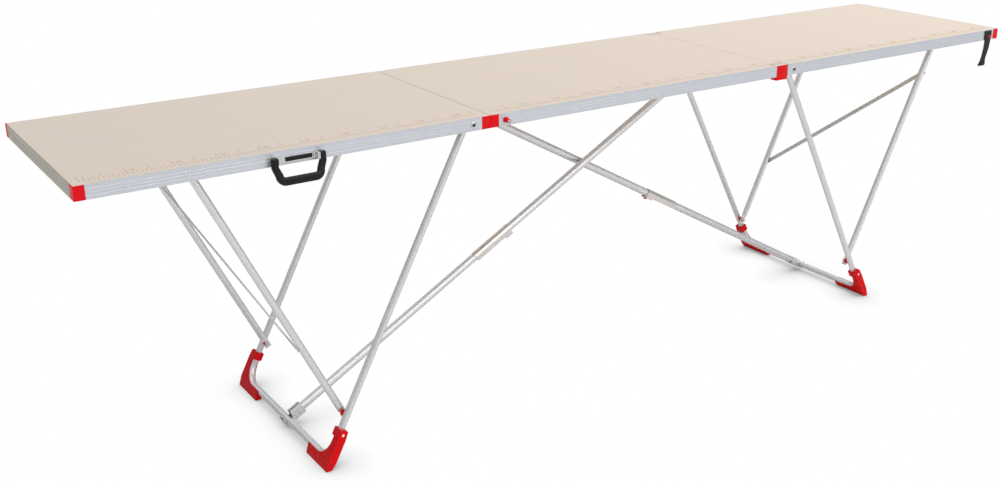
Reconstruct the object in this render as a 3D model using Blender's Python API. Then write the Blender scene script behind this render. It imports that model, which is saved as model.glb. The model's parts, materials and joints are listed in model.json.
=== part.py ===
"""Folding wallpaper pasting table: three panels in aluminium rails, two splayed
leg frames with struts, and two crossed braces. Metres, +Z up, floor at z = 0,
x = 0 at the middle panel's centre, front at -Y."""

import math

import bmesh
import bpy
from mathutils import Matrix, Vector

# Overall
TABLE_HEIGHT = 0.845
PANEL_LENGTH = 1.0
TABLE_WIDTH = 0.6
GAP = 0.0003
SEAM_HALF = 0.0004
OVERRUN = 0.05
MERGE_OVERLAP = 0.001
ROUND_SIDES = 16
FINE_SIDES = 12
SHARP_ANGLE = math.radians(35)

# Rails and boards
RAIL_HEIGHT = 0.0326
RAIL_WALL = 0.002
RAIL_LIP = 0.0015
RAIL_FLANGE = 0.010
END_FLANGE = 0.008
BOARD_THICK = 0.004
GROOVE_DEPTH = 0.0003
GROOVE_HALF = 0.0006
GROOVE_SHARES = (0.27, 0.5, 0.73)
CAP_LENGTH = 0.024
CAP_DEPTH = 0.024

# Strap hinge between the left and middle panels
HINGE_DROP = 0.0035
HINGE_PLACE = 0.24
HINGE_WIDTH = 0.04
LEAF_THICK = 0.0015
LEAF_REACH = 0.014
KNUCKLE_RADIUS = 0.0032
HINGE_PIN_RADIUS = 0.0015

# Link hinge between the middle and right panels
LINK_WIDTH = 0.044
LINK_DEPTH = 0.024
LINK_PIVOTS = 0.03
LINK_DROP = 0.0055
LINK_CHIN = 0.0052
LINK_PIN_RADIUS = 0.0025
LINK_EDGE = 0.0012
EAR_THICK = 0.003
EAR_RADIUS = 0.005
EAR_RISE = 0.012

# Leg frames
LEG_PIVOT_X = 0.5485
LEG_PIVOT_DROP = 0.0175
LEG_REACH = 0.4355
LEG_TUBE_RADIUS = 0.009
LEG_TUBE_Y = 0.266
LEG_TOP_OVER = 0.006
LEG_BEND = 0.05
CROSSBAR_RISE = 0.024
PIVOT_PIN_RADIUS = 0.004

# Feet
FOOT_THICK = 0.023
FOOT_RISE = 0.1091
COLLAR_LENGTH = 0.022
FOOT_OUTER_Y = 0.2885
FOOT_INNER_Y = 0.168
SOLE_THICK = 0.013
COLLAR_WALL = 0.0035
FOOT_MOUTH = 0.0014

# Struts and their carrier
STRUT_PIN_RISE = 0.1445
STRUT_TOP_X = 1.249
STRUT_Y = 0.2445
STRUT_RADIUS = 0.009
STRUT_FLAT = 0.004
STRUT_FLAT_LENGTH = 0.034
STRUT_TIP = 0.014
STRUT_EYE_RADIUS = 0.0088
STRUT_SLIDE = 0.061
ROD_RADIUS = 0.004
ROD_OVER = 0.003
PIN_CLEARANCE = 0.0003
SPACER_RADIUS = 0.008
CARRIER_EAR_Y = 0.231
CARRIER_EAR = 0.003
CARRIER_WEB = 0.002
CARRIER_HANG = 0.024
CARRIER_END = 0.018
BAR_THICK = 0.003
BAR_WIDTH = 0.013
BAR_TIP = 0.005
BAR_TOP_SHARE = 0.144
BAR_LOW_SHARE = 0.705

# Braces
BRACE_TOP_X = 0.47
BRACE_Y = 0.013
BRACE_RADIUS = 0.011
BRACE_EYE = 0.008
BRACE_EYE_THICK = 0.006
BRACE_NECK = 0.03
BRACE_PIN_RADIUS = 0.003
BRACKET_PLATE = 0.003
BRACKET_HALF = 0.0095
SLEEVE_START = 0.68
SLEEVE_END = 0.812
SLEEVE_WALL = 0.0015
SLEEVE_SLANT = 0.03
SLEEVE_SKIRT = 0.002
SLEEVE_CHIN = 0.0188
SLEEVE_CHIN_LENGTH = 0.034
KNUCKLE_A = 0.796
KNUCKLE_DROP = 0.0127
KNUCKLE_PIN_RADIUS = 0.0025
KNUCKLE_LUG = 0.005
KNUCKLE_LUG_THICK = 0.008
KNUCKLE_LUG_LENGTH = 0.018
CLIP_LENGTH = 0.05
CLIP_NOSE = 0.014
CLIP_WALL = 0.0018
CLIP_EASE = 0.0004
CLIP_WIDEN = 0.004
BRACE_FOOT_START = 0.016

# Handle on the left panel's front rail
HANDLE_X = -1.0135
HANDLE_LENGTH = 0.1
HANDLE_PLATE_HEIGHT = 0.015
HANDLE_PLATE_THICK = 0.003
HANDLE_DROP = 0.0195
HANDLE_EAR = 0.006
HANDLE_REACH = 0.012
GRIP_RADIUS = 0.0065
GRIP_HALF_TOP = 0.0575
GRIP_HALF_LOW = 0.047
GRIP_FALL = 0.055
GRIP_CORNER = 0.014
GRIP_PIN_RADIUS = 0.002
CORNER_STEPS = 5

# Strap on the right panel and its stud on the middle panel
STRAP_X = 1.4475
STRAP_HALF_TOP = 0.017
STRAP_HALF_LOW = 0.014
STRAP_HALF_NECK = 0.0115
STRAP_TOP_DROP = 0.002
STRAP_SHOULDER = 0.034
STRAP_FALL = 0.115
STRAP_THICK = 0.003
STRAP_PIVOT_DROP = 0.0205
STRAP_HOLE_RADIUS = 0.0055
STRAP_HOLE_DROP = 0.098
RIVET_RADIUS = 0.005
RIVET_HEAD = 0.0015
STUD_X = -0.4557
STUD_RADIUS = 0.0042
STUD_HEAD_RADIUS = 0.0056
STUD_LENGTH = 0.016
STUD_HEAD = 0.005

# Places that follow from the sizes above
RAIL_BOTTOM = TABLE_HEIGHT - RAIL_HEIGHT
BOARD_UNDER = TABLE_HEIGHT - BOARD_THICK - GAP
HALF_WIDTH = TABLE_WIDTH / 2
HALF_PANEL = PANEL_LENGTH / 2
HALF_TABLE = HALF_PANEL + PANEL_LENGTH
PIVOT_Z = TABLE_HEIGHT - LEG_PIVOT_DROP
LEG_LENGTH = math.hypot(LEG_REACH, PIVOT_Z)
LEG_SIN = LEG_REACH / LEG_LENGTH
LEG_COS = PIVOT_Z / LEG_LENGTH
CROSSBAR_U = LEG_LENGTH - CROSSBAR_RISE
FOOT_TOP_U = LEG_LENGTH - FOOT_RISE
COLLAR_END_U = FOOT_TOP_U + COLLAR_LENGTH
STRUT_PIN_U = LEG_LENGTH - STRUT_PIN_RISE
ROD_Z = TABLE_HEIGHT - RAIL_HEIGHT / 2
STRUT_LOW = (LEG_PIVOT_X + STRUT_PIN_U * LEG_SIN, PIVOT_Z - STRUT_PIN_U * LEG_COS)
STRUT_LENGTH = math.hypot(STRUT_TOP_X - STRUT_LOW[0], ROD_Z - STRUT_LOW[1])
STRUT_COS = (STRUT_TOP_X - STRUT_LOW[0]) / STRUT_LENGTH
STRUT_SIN = (ROD_Z - STRUT_LOW[1]) / STRUT_LENGTH
CROSSBAR_X = LEG_PIVOT_X + CROSSBAR_U * LEG_SIN
CROSSBAR_Z = PIVOT_Z - CROSSBAR_U * LEG_COS
BRACE_LENGTH = math.hypot(CROSSBAR_X + BRACE_TOP_X, ROD_Z - CROSSBAR_Z)
BRACE_COS = (CROSSBAR_X + BRACE_TOP_X) / BRACE_LENGTH
BRACE_SIN = (ROD_Z - CROSSBAR_Z) / BRACE_LENGTH
HINGE_Z = RAIL_BOTTOM - HINGE_DROP
LINK_Z = RAIL_BOTTOM - LINK_DROP
LINK_INNER_Y = HALF_WIDTH - LINK_DEPTH
FACE_Y = -HALF_WIDTH - GAP
FRONT_REACH = GAP + max(STUD_LENGTH, HANDLE_REACH + GRIP_RADIUS)

LEFT = -1
RIGHT = 1
ENDS = {"front": -1, "rear": 1}


def clear_scene():
    for old in list(bpy.data.objects):
        bpy.data.objects.remove(old, do_unlink=True)


def make_material(name, colour, roughness, metallic):
    material = bpy.data.materials.new(name)
    material.use_nodes = True
    shader = material.node_tree.nodes["Principled BSDF"]
    shader.inputs["Base Color"].default_value = (*colour, 1)
    shader.inputs["Roughness"].default_value = roughness
    shader.inputs["Metallic"].default_value = metallic
    return material


def finishes():
    return {
        "board": ((0.72, 0.62, 0.53), 0.55, 0),
        "rail": ((0.56, 0.58, 0.61), 0.35, 1),
        "red": ((0.72, 0.02, 0.03), 0.4, 0),
        "tube": ((0.66, 0.66, 0.66), 0.3, 1),
        "bar": ((0.42, 0.42, 0.39), 0.45, 1),
        "foot": ((0.62, 0.03, 0.04), 0.5, 0),
        "black": ((0.02, 0.02, 0.02), 0.5, 0),
        "steel": ((0.55, 0.55, 0.55), 0.35, 1),
    }


def finish_mesh(bm, name, finish, origin):
    """Turn a bmesh in world places into an object whose origin is the given point."""
    bmesh.ops.recalc_face_normals(bm, faces=bm.faces)
    bmesh.ops.translate(bm, verts=bm.verts, vec=-origin)
    mesh = bpy.data.meshes.new(name)
    bm.to_mesh(mesh)
    bm.free()
    mesh.shade_smooth()
    mesh.set_sharp_from_angle(angle=SHARP_ANGLE)
    mesh.materials.append(MATERIALS[finish])
    piece = bpy.data.objects.new(name, mesh)
    piece.location = origin
    bpy.context.scene.collection.objects.link(piece)
    return piece


def prism(name, outline, place, low, high, finish, origin=None):
    """Extrude an outline of (a, b) points from low to high; place(a, b, t) gives the world point."""
    bm = bmesh.new()
    ring = [bm.verts.new(place(a, b, low)) for a, b in outline]
    face = bm.faces.new(ring)
    grown = bmesh.ops.extrude_face_region(bm, geom=[face])
    tops = {v: k for k, v in zip(range(len(ring)), ring)}
    moved = [v for v in grown["geom"] if isinstance(v, bmesh.types.BMVert)]
    for vert in moved:
        nearest = min(tops, key=lambda v: (v.co - vert.co).length)
        vert.co = place(*outline[tops[nearest]], high)
    return finish_mesh(bm, name, finish, origin or Vector())


def box(name, low, high, finish, origin=None):
    outline = ((low[0], low[1]), (high[0], low[1]), (high[0], high[1]), (low[0], high[1]))
    return prism(name, outline, lambda a, b, t: Vector((a, b, t)), low[2], high[2], finish, origin)


def rod(name, start, end, radius, finish, origin=None, sides=ROUND_SIDES):
    """A closed round bar between two points."""
    start = Vector(start)
    end = Vector(end)
    along = end - start
    turn = along.to_track_quat("Z", "Y").to_matrix().to_4x4()
    bm = bmesh.new()
    bmesh.ops.create_cone(bm, cap_ends=True, segments=sides, radius1=radius, radius2=radius,
                          depth=along.length,
                          matrix=Matrix.Translation((start + end) / 2) @ turn)
    return finish_mesh(bm, name, finish, origin or Vector())


def bent_tube(name, path, radius, finish, origin=None, resolution=2):
    """A closed round tube along a path, made from a bevelled curve."""
    curve = bpy.data.curves.new(name, "CURVE")
    curve.dimensions = "3D"
    curve.bevel_depth = radius
    curve.bevel_resolution = resolution
    curve.use_fill_caps = True
    spline = curve.splines.new("POLY")
    spline.points.add(len(path) - 1)
    for knot, place in zip(spline.points, path):
        knot.co = (*place, 1)
    guide = bpy.data.objects.new(name + "_path", curve)
    bpy.context.scene.collection.objects.link(guide)
    bpy.context.view_layer.update()
    shaped = guide.evaluated_get(bpy.context.evaluated_depsgraph_get())
    bm = bmesh.new()
    bm.from_mesh(shaped.to_mesh())
    bmesh.ops.remove_doubles(bm, verts=bm.verts, dist=GAP / 10)
    bpy.data.objects.remove(guide, do_unlink=True)
    return finish_mesh(bm, name, finish, origin or Vector())


def combine(target, tools, operation):
    """Join tools to the target, or cut them from it, and keep them as hidden guides."""
    for tool in tools:
        tool.hide_render = True
        tool.display_type = "WIRE"
        step = target.modifiers.new(tool.name, "BOOLEAN")
        step.operation = operation
        step.solver = "EXACT"
        step.object = tool
    return target


def arc(centre, radius, start, end, steps):
    """Points of a circular arc in two dimensions, angles in radians."""
    turns = [start + (end - start) * k / steps for k in range(steps + 1)]
    return [(centre[0] + radius * math.cos(t), centre[1] + radius * math.sin(t)) for t in turns]


def leg_point(side, u, y, n=0):
    """A point u down the leg from its pivot and n out of the leg's plane."""
    return Vector((side * (LEG_PIVOT_X + u * LEG_SIN + n * LEG_COS), y,
                   PIVOT_Z - u * LEG_COS + n * LEG_SIN))


def strut_point(side, a, n, y):
    """A point a up the strut from the leg's pin and n towards its outer side."""
    return Vector((side * (STRUT_LOW[0] + a * STRUT_COS + n * STRUT_SIN), y,
                   STRUT_LOW[1] + a * STRUT_SIN - n * STRUT_COS))


def brace_point(side, a, n, y):
    """A point a up the brace from the crossbar and n above its axis; y is off its own plane."""
    return Vector((side * (CROSSBAR_X - a * BRACE_COS + n * BRACE_SIN), side * BRACE_Y + y,
                   CROSSBAR_Z + a * BRACE_SIN + n * BRACE_COS))


def rail_profile(flange):
    """Rail section: depth in from the outer face, height down from the top."""
    outer = []
    for share in GROOVE_SHARES:
        middle = -RAIL_HEIGHT * share
        outer.append((0, middle + GROOVE_HALF))
        outer.append((GROOVE_DEPTH, middle))
        outer.append((0, middle - GROOVE_HALF))
    seat = -BOARD_THICK - GAP
    return [(0, 0)] + outer + [
        (0, -RAIL_HEIGHT),
        (flange, -RAIL_HEIGHT),
        (flange, -RAIL_HEIGHT + RAIL_LIP),
        (RAIL_WALL, -RAIL_HEIGHT + RAIL_LIP),
        (RAIL_WALL, seat - RAIL_LIP),
        (flange, seat - RAIL_LIP),
        (flange, seat),
        (RAIL_WALL, seat),
        (RAIL_WALL, 0),
    ]


def long_rail(name, facing, low, high, origin):
    def place(depth, drop, x):
        return Vector((x, facing * (HALF_WIDTH - depth), TABLE_HEIGHT + drop))
    return prism(name, rail_profile(RAIL_FLANGE), place, low, high, "rail", origin)


def end_rail(name, facing, edge, half, origin):
    def place(depth, drop, y):
        return Vector((edge - facing * depth, y, TABLE_HEIGHT + drop))
    return prism(name, rail_profile(END_FLANGE), place, -half, half, "rail", origin)


def corner_cap(name, facing_x, facing_y, edge, origin):
    """L-shaped corner flush with both rails, stepped down where the board lies on it."""
    inner = edge - facing_x * CAP_LENGTH
    near = facing_y * (HALF_WIDTH - CAP_DEPTH)
    xs = sorted((edge, inner))
    ys = sorted((facing_y * HALF_WIDTH, near))
    block = box(name, (xs[0], ys[0], RAIL_BOTTOM), (xs[1], ys[1], TABLE_HEIGHT), "red", origin)
    cut_x = sorted((edge - facing_x * RAIL_WALL, inner - facing_x * OVERRUN))
    cut_y = sorted((facing_y * (HALF_WIDTH - RAIL_WALL), near - facing_y * OVERRUN))
    step = box(name + "_step", (cut_x[0], cut_y[0], BOARD_UNDER),
               (cut_x[1], cut_y[1], TABLE_HEIGHT + OVERRUN), "red")
    in_x = sorted((edge - facing_x * END_FLANGE, inner - facing_x * OVERRUN))
    in_y = sorted((facing_y * (HALF_WIDTH - RAIL_FLANGE), near - facing_y * OVERRUN))
    hollow = box(name + "_hollow", (in_x[0], in_y[0], RAIL_BOTTOM - OVERRUN),
                 (in_x[1], in_y[1], TABLE_HEIGHT + OVERRUN), "red")
    return combine(block, [step, hollow], "DIFFERENCE")


def board(name, low, high, notch_low, notch_high, origin):
    """Board lying in its rails, notched where the link blocks stand."""
    x0 = low + RAIL_WALL + GAP
    x1 = high - RAIL_WALL - GAP
    y1 = HALF_WIDTH - RAIL_WALL - GAP
    inner = LINK_INNER_Y - GAP
    reach = (LINK_WIDTH / 2) + GAP
    left = [(x0, -y1), (x0, y1)]
    right = [(x1, y1), (x1, -y1)]
    if notch_low:
        cut = HALF_PANEL + reach
        left = [(cut, -y1), (cut, -inner), (x0, -inner), (x0, inner), (cut, inner), (cut, y1)]
    if notch_high:
        cut = HALF_PANEL - reach
        right = [(cut, y1), (cut, inner), (x1, inner), (x1, -inner), (cut, -inner), (cut, -y1)]
    return prism(name, left + right, lambda a, b, t: Vector((a, b, t)),
                 TABLE_HEIGHT - BOARD_THICK, TABLE_HEIGHT, "board", origin)


def link_ear(name, side, end):
    """Ear under an end rail, round about the link's pivot."""
    pivot = HALF_PANEL + side * LINK_PIVOTS / 2
    wall = HALF_PANEL + side * (SEAM_HALF + MERGE_OVERLAP)
    outer = pivot + side * EAR_RADIUS
    first = math.pi if side > 0 else 0
    low = arc((pivot, LINK_Z), EAR_RADIUS, first, first + side * math.pi, 8)
    outline = low + [(outer, RAIL_BOTTOM), (outer, RAIL_BOTTOM + EAR_RISE),
                     (wall, RAIL_BOTTOM + EAR_RISE), (wall, RAIL_BOTTOM)]
    y_low = end * (LINK_INNER_Y - GAP - EAR_THICK)
    y_high = end * (LINK_INNER_Y - GAP)
    return prism(name, outline, lambda a, b, t: Vector((a, t, b)), y_low, y_high, "rail")


def add_link_ears(rail, side):
    pivot = HALF_PANEL + side * LINK_PIVOTS / 2
    ears = [link_ear(rail.name + "_ear_" + word, side, end) for word, end in ENDS.items()]
    combine(rail, ears, "UNION")
    bore = rod(rail.name + "_bore", (pivot, -HALF_WIDTH, LINK_Z), (pivot, HALF_WIDTH, LINK_Z),
               LINK_PIN_RADIUS + PIN_CLEARANCE, "rail")
    return combine(rail, [bore], "DIFFERENCE")


def brace_bracket(rail, side):
    """Fork on an end rail of the middle panel that carries the upper end of a brace."""
    top_x = -side * BRACE_TOP_X
    root = HALF_PANEL - RAIL_WALL + MERGE_OVERLAP / 2
    middle = side * BRACE_Y
    nose = arc((0, 0), BRACKET_HALF, math.pi / 2, 3 * math.pi / 2, 8)
    outline = nose + [(root - BRACE_TOP_X, -BRACKET_HALF), (root - BRACE_TOP_X, BRACKET_HALF)]

    def place(a, b, t):
        return Vector((top_x - side * a, t, ROD_Z + b))
    plates = []
    for word, way in ENDS.items():
        near = middle + way * (BRACE_EYE_THICK / 2 + GAP)
        plates.append(prism(rail.name + "_fork_" + word, outline, place, near,
                            near + way * BRACKET_PLATE, "rail"))
    reach = BRACE_EYE_THICK / 2 + GAP + BRACKET_PLATE / 2
    pin = rod(rail.name + "_fork_pin", (top_x, middle - reach, ROD_Z), (top_x, middle + reach, ROD_Z),
              BRACE_PIN_RADIUS, "steel")
    return combine(rail, plates + [pin], "UNION")


def build_panel(word, low, high, origin):
    """Board, four rails and corner caps of one panel; the link takes two corners."""
    low_edge = low + SEAM_HALF
    high_edge = high - SEAM_HALF
    link_low = word == "right"
    link_high = word == "mid"
    board(word + "_board", low_edge, high_edge, link_low, link_high, origin)
    cap = CAP_LENGTH + GAP
    start = HALF_PANEL + LINK_WIDTH / 2 + GAP if link_low else low_edge + cap
    stop = HALF_PANEL - LINK_WIDTH / 2 - GAP if link_high else high_edge - cap
    for end_word, end in ENDS.items():
        long_rail(f"{word}_{end_word}_rail", end, start, stop, origin)
        if not link_low:
            corner_cap(f"{word}_{end_word}_left_cap", -1, end, low_edge, origin)
        if not link_high:
            corner_cap(f"{word}_{end_word}_right_cap", 1, end, high_edge, origin)
    half = HALF_WIDTH - CAP_DEPTH - GAP
    first = end_rail(f"{word}_left_end_rail", -1, low_edge, half, origin)
    last = end_rail(f"{word}_right_end_rail", 1, high_edge, half, origin)
    return first, last


def hinge_leaf(name, side, end, carries_pin, origin):
    """One leaf of a strap hinge under the seam of the left and middle panels."""
    axis_x = -HALF_PANEL
    start = end * HINGE_PLACE - HINGE_WIDTH / 2
    third = HINGE_WIDTH / 3
    top = RAIL_BOTTOM - GAP
    clear = KNUCKLE_RADIUS + GAP
    spans = [(0, third - GAP), (2 * third + GAP, HINGE_WIDTH)] if carries_pin else [(third, 2 * third)]
    xs = sorted((axis_x + side * clear, axis_x + side * LEAF_REACH))
    leaf = box(name, (xs[0], start, top - LEAF_THICK), (xs[1], start + HINGE_WIDTH, top), "steel", origin)
    extras = []
    for number, (near, far) in enumerate(spans):
        tab = sorted((axis_x, axis_x + side * (clear + MERGE_OVERLAP)))
        extras.append(box(f"{name}_tab_{number}", (tab[0], start + near, top - LEAF_THICK),
                          (tab[1], start + far, top), "steel"))
        extras.append(rod(f"{name}_roll_{number}", (axis_x, start + near, HINGE_Z),
                          (axis_x, start + far, HINGE_Z), KNUCKLE_RADIUS, "steel", sides=FINE_SIDES))
    if carries_pin:
        extras.append(rod(name + "_pin", (axis_x, start + MERGE_OVERLAP, HINGE_Z),
                          (axis_x, start + HINGE_WIDTH - MERGE_OVERLAP, HINGE_Z), HINGE_PIN_RADIUS,
                          "steel", sides=FINE_SIDES))
        return combine(leaf, extras, "UNION")
    combine(leaf, extras, "UNION")
    stop = start + HINGE_WIDTH + OVERRUN
    bore = rod(name + "_bore", (axis_x, start - OVERRUN, HINGE_Z), (axis_x, stop, HINGE_Z),
               HINGE_PIN_RADIUS + PIN_CLEARANCE, "steel", sides=FINE_SIDES)
    return combine(leaf, [bore], "DIFFERENCE")


def link_block(name, end, origin):
    """Red double-pivot block at one edge, with its two pins."""
    ys = sorted((end * LINK_INNER_Y, end * HALF_WIDTH))
    half = LINK_WIDTH / 2
    block = box(name, (HALF_PANEL - half, ys[0], LINK_Z - LINK_CHIN),
                (HALF_PANEL + half, ys[1], TABLE_HEIGHT), "red", origin)
    edge = block.modifiers.new("edge", "BEVEL")
    edge.width = LINK_EDGE
    edge.segments = 2
    pins = []
    for number, way in enumerate((-1, 1)):
        x = HALF_PANEL + way * LINK_PIVOTS / 2
        root = end * (LINK_INNER_Y + EAR_THICK)
        tip = end * (LINK_INNER_Y - EAR_THICK - 2 * GAP)
        pins.append(rod(f"{name}_pin_{number}", (x, root, LINK_Z), (x, tip, LINK_Z),
                        LINK_PIN_RADIUS, "steel"))
    return combine(block, pins, "UNION")


def leg_path(side):
    """Centre line of the U-shaped leg tube."""
    centre_u = CROSSBAR_U - LEG_BEND
    centre_y = LEG_TUBE_Y - LEG_BEND
    bend = arc((0, 0), LEG_BEND, 0, math.pi / 2, 7)
    down = [(-LEG_TOP_OVER, LEG_TUBE_Y)] + [(centre_u + b, centre_y + a) for a, b in bend]
    back = [(u, -y) for u, y in reversed(down)]
    return [leg_point(side, u, y) for u, y in down + back]


def leg_frame(word, side):
    pivot = leg_point(side, 0, 0)
    name = word + "_leg_tube"
    frame = bent_tube(name, leg_path(side), LEG_TUBE_RADIUS, "tube", pivot, 2)
    pins = []
    for end_word, end in ENDS.items():
        wall = end * (HALF_WIDTH - RAIL_WALL - GAP)
        pins.append(rod(f"{name}_pivot_{end_word}", leg_point(side, 0, end * LEG_TUBE_Y),
                        leg_point(side, 0, wall), PIVOT_PIN_RADIUS, "steel"))
    return combine(frame, pins, "UNION")


def foot_outline():
    """Boot outline in the leg's plane: u down the leg, y outwards."""
    floor_u = LEG_LENGTH + FOOT_THICK
    collar_in = LEG_TUBE_Y - LEG_TUBE_RADIUS - COLLAR_WALL
    inner = LEG_BEND - FOOT_MOUTH
    bend = arc((CROSSBAR_U - LEG_BEND, LEG_TUBE_Y - LEG_BEND), inner, 0, math.pi / 2, 6)
    return [
        (FOOT_TOP_U, collar_in),
        (FOOT_TOP_U, FOOT_OUTER_Y - COLLAR_WALL),
        (COLLAR_END_U, FOOT_OUTER_Y),
        (floor_u, FOOT_OUTER_Y),
        (floor_u, FOOT_INNER_Y),
        (CROSSBAR_U - FOOT_MOUTH, FOOT_INNER_Y),
    ] + bend + [
        (COLLAR_END_U, LEG_TUBE_Y - FOOT_MOUTH),
        (COLLAR_END_U, collar_in),
    ]


def foot(word, side, end_word, end):
    name = f"{word}_{end_word}_foot"
    pivot = leg_point(side, 0, 0)

    def place(u, y, n):
        return leg_point(side, u, end * y, n)
    boot = prism(name, foot_outline(), place, -FOOT_THICK / 2, FOOT_THICK / 2, "foot", pivot)
    bore = bent_tube(name + "_bore", leg_path(side), LEG_TUBE_RADIUS + GAP, "foot")
    xs = sorted((side * (CROSSBAR_X - LEG_REACH), side * (CROSSBAR_X + LEG_REACH)))
    floor = box(name + "_floor", (xs[0], -HALF_WIDTH - OVERRUN, -LEG_REACH),
                (xs[1], HALF_WIDTH + OVERRUN, 0), "foot")
    return combine(boot, [bore, floor] + sole_wedges(name, side), "DIFFERENCE")


def sole_wedges(name, side):
    """Slanted cuts that thin a foot from the crossbar down to its sole."""
    def place(u, n, y):
        return leg_point(side, u, y, n)
    wedges = []
    for word, way in ENDS.items():
        steep = (FOOT_THICK - SOLE_THICK) / 2 / (LEG_LENGTH - CROSSBAR_U)
        low_u = LEG_LENGTH + OVERRUN
        low_n = FOOT_THICK / 2 - steep * (low_u - CROSSBAR_U)
        outline = [(CROSSBAR_U, way * FOOT_THICK / 2), (low_u, way * low_n), (low_u, way * OVERRUN),
                   (CROSSBAR_U, way * OVERRUN)]
        wedges.append(prism(f"{name}_wedge_{word}", outline, place, -HALF_WIDTH, HALF_WIDTH, "foot"))
    return wedges


def strut_pin(word, side, end_word, end):
    """Stud on the leg with its red spacer, which the strut's hook goes over."""
    name = f"{word}_{end_word}_strut_pin"
    tube_face = LEG_TUBE_Y - LEG_TUBE_RADIUS - GAP
    hook_face = STRUT_Y + STRUT_FLAT / 2 + GAP
    tip = STRUT_Y - STRUT_FLAT / 2 - ROD_OVER
    spacer = rod(name, leg_point(side, STRUT_PIN_U, end * tube_face),
                 leg_point(side, STRUT_PIN_U, end * hook_face), SPACER_RADIUS, "red",
                 leg_point(side, 0, 0))
    stud = rod(name + "_stud", leg_point(side, STRUT_PIN_U, end * (tube_face - MERGE_OVERLAP)),
               leg_point(side, STRUT_PIN_U, end * tip), ROD_RADIUS, "red")
    return combine(spacer, [stud], "UNION")


def strut(word, side, end_word, end):
    """Strut tube with flattened ends: an eye on the sliding rod, a hook on the leg's stud."""
    name = f"{word}_{end_word}_strut"
    top = Vector((side * STRUT_TOP_X, 0, ROD_Z))
    y = end * STRUT_Y
    tube = rod(name, strut_point(side, STRUT_FLAT_LENGTH - STRUT_TIP, 0, y),
               strut_point(side, STRUT_LENGTH - STRUT_FLAT_LENGTH + STRUT_TIP, 0, y), STRUT_RADIUS,
               "tube", top)

    def place(a, n, t):
        return strut_point(side, a, n, t)
    half = STRUT_FLAT / 2
    hook = [(-STRUT_TIP, -STRUT_EYE_RADIUS), (STRUT_FLAT_LENGTH, -STRUT_EYE_RADIUS),
            (STRUT_FLAT_LENGTH, STRUT_EYE_RADIUS), (-STRUT_TIP, STRUT_EYE_RADIUS)]
    start = STRUT_LENGTH - STRUT_FLAT_LENGTH
    eye = arc((STRUT_LENGTH, 0), STRUT_EYE_RADIUS, -math.pi / 2, math.pi / 2, 8)
    eye = [(start, -STRUT_EYE_RADIUS)] + eye + [(start, STRUT_EYE_RADIUS)]
    flats = [prism(name + "_hook", hook, place, y - half, y + half, "tube"),
             prism(name + "_eye", eye, place, y - half, y + half, "tube")]
    combine(tube, flats, "UNION")
    wide = ROD_RADIUS + PIN_CLEARANCE
    low = strut_point(side, 0, 0, y)
    over = end * STRUT_RADIUS
    slot_x = sorted((low.x, low.x + side * OVERRUN))
    tools = [
        rod(name + "_seat", (low.x, y - over, low.z), (low.x, y + over, low.z), wide, "tube"),
        box(name + "_mouth", (slot_x[0], y - STRUT_RADIUS, low.z - wide),
            (slot_x[1], y + STRUT_RADIUS, low.z + wide), "tube"),
        rod(name + "_bore", (top.x, y - over, top.z), (top.x, y + over, top.z), wide, "tube"),
    ]
    return combine(tube, tools, "DIFFERENCE")


def diagonal_bar(word, side):
    """Flat bar from one strut's top to the other's lower part, on their outer side."""
    name = word + "_diagonal_bar"
    top = Vector((side * STRUT_TOP_X, 0, ROD_Z))
    high = (STRUT_LENGTH * (1 - BAR_TOP_SHARE), -side * STRUT_Y)
    low = (STRUT_LENGTH * (1 - BAR_LOW_SHARE), side * STRUT_Y)
    run = Vector((high[0] - low[0], high[1] - low[1]))
    across = Vector((-run.y, run.x)).normalized() * BAR_WIDTH / 2
    tip = run.normalized() * BAR_TIP
    corners = [Vector(low) - tip - across, Vector(high) + tip - across,
               Vector(high) + tip + across, Vector(low) - tip + across]
    outline = [(c.x, c.y) for c in corners]
    near = STRUT_RADIUS + GAP
    return prism(name, outline, lambda a, b, t: strut_point(side, a, t, b), near, near + BAR_THICK,
                 "bar", top)


def strut_rod(word, side):
    """Round rod that joins the struts' eyes and runs in the carrier's slots."""
    top = Vector((side * STRUT_TOP_X, 0, ROD_Z))
    reach = STRUT_Y + STRUT_FLAT / 2 + ROD_OVER
    return rod(word + "_strut_rod", (top.x, -reach, top.z), (top.x, reach, top.z), ROD_RADIUS,
               "steel", top)


def strut_carrier(word, side, origin):
    """Channel under the board whose slotted ears guide the strut rod."""
    name = word + "_strut_carrier"
    top = BOARD_UNDER
    start = STRUT_TOP_X - CARRIER_END
    stop = STRUT_TOP_X + STRUT_SLIDE + CARRIER_END
    xs = sorted((side * start, side * stop))
    web = box(name, (xs[0], -CARRIER_EAR_Y, top - CARRIER_WEB), (xs[1], CARRIER_EAR_Y, top),
              "rail", origin)
    ears = []
    for end_word, end in ENDS.items():
        ys = sorted((end * CARRIER_EAR_Y, end * (CARRIER_EAR_Y - CARRIER_EAR)))
        ears.append(box(f"{name}_ear_{end_word}", (xs[0], ys[0], top - CARRIER_HANG),
                        (xs[1], ys[1], top - CARRIER_WEB / 2), "rail"))
    combine(web, ears, "UNION")
    wide = ROD_RADIUS + PIN_CLEARANCE
    slot_x = sorted((side * (STRUT_TOP_X - wide), side * (STRUT_TOP_X + STRUT_SLIDE + wide)))
    slot = box(name + "_slot", (slot_x[0], -HALF_WIDTH, ROD_Z - wide),
               (slot_x[1], HALF_WIDTH, ROD_Z + wide), "rail")
    return combine(web, [slot], "DIFFERENCE")


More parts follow.
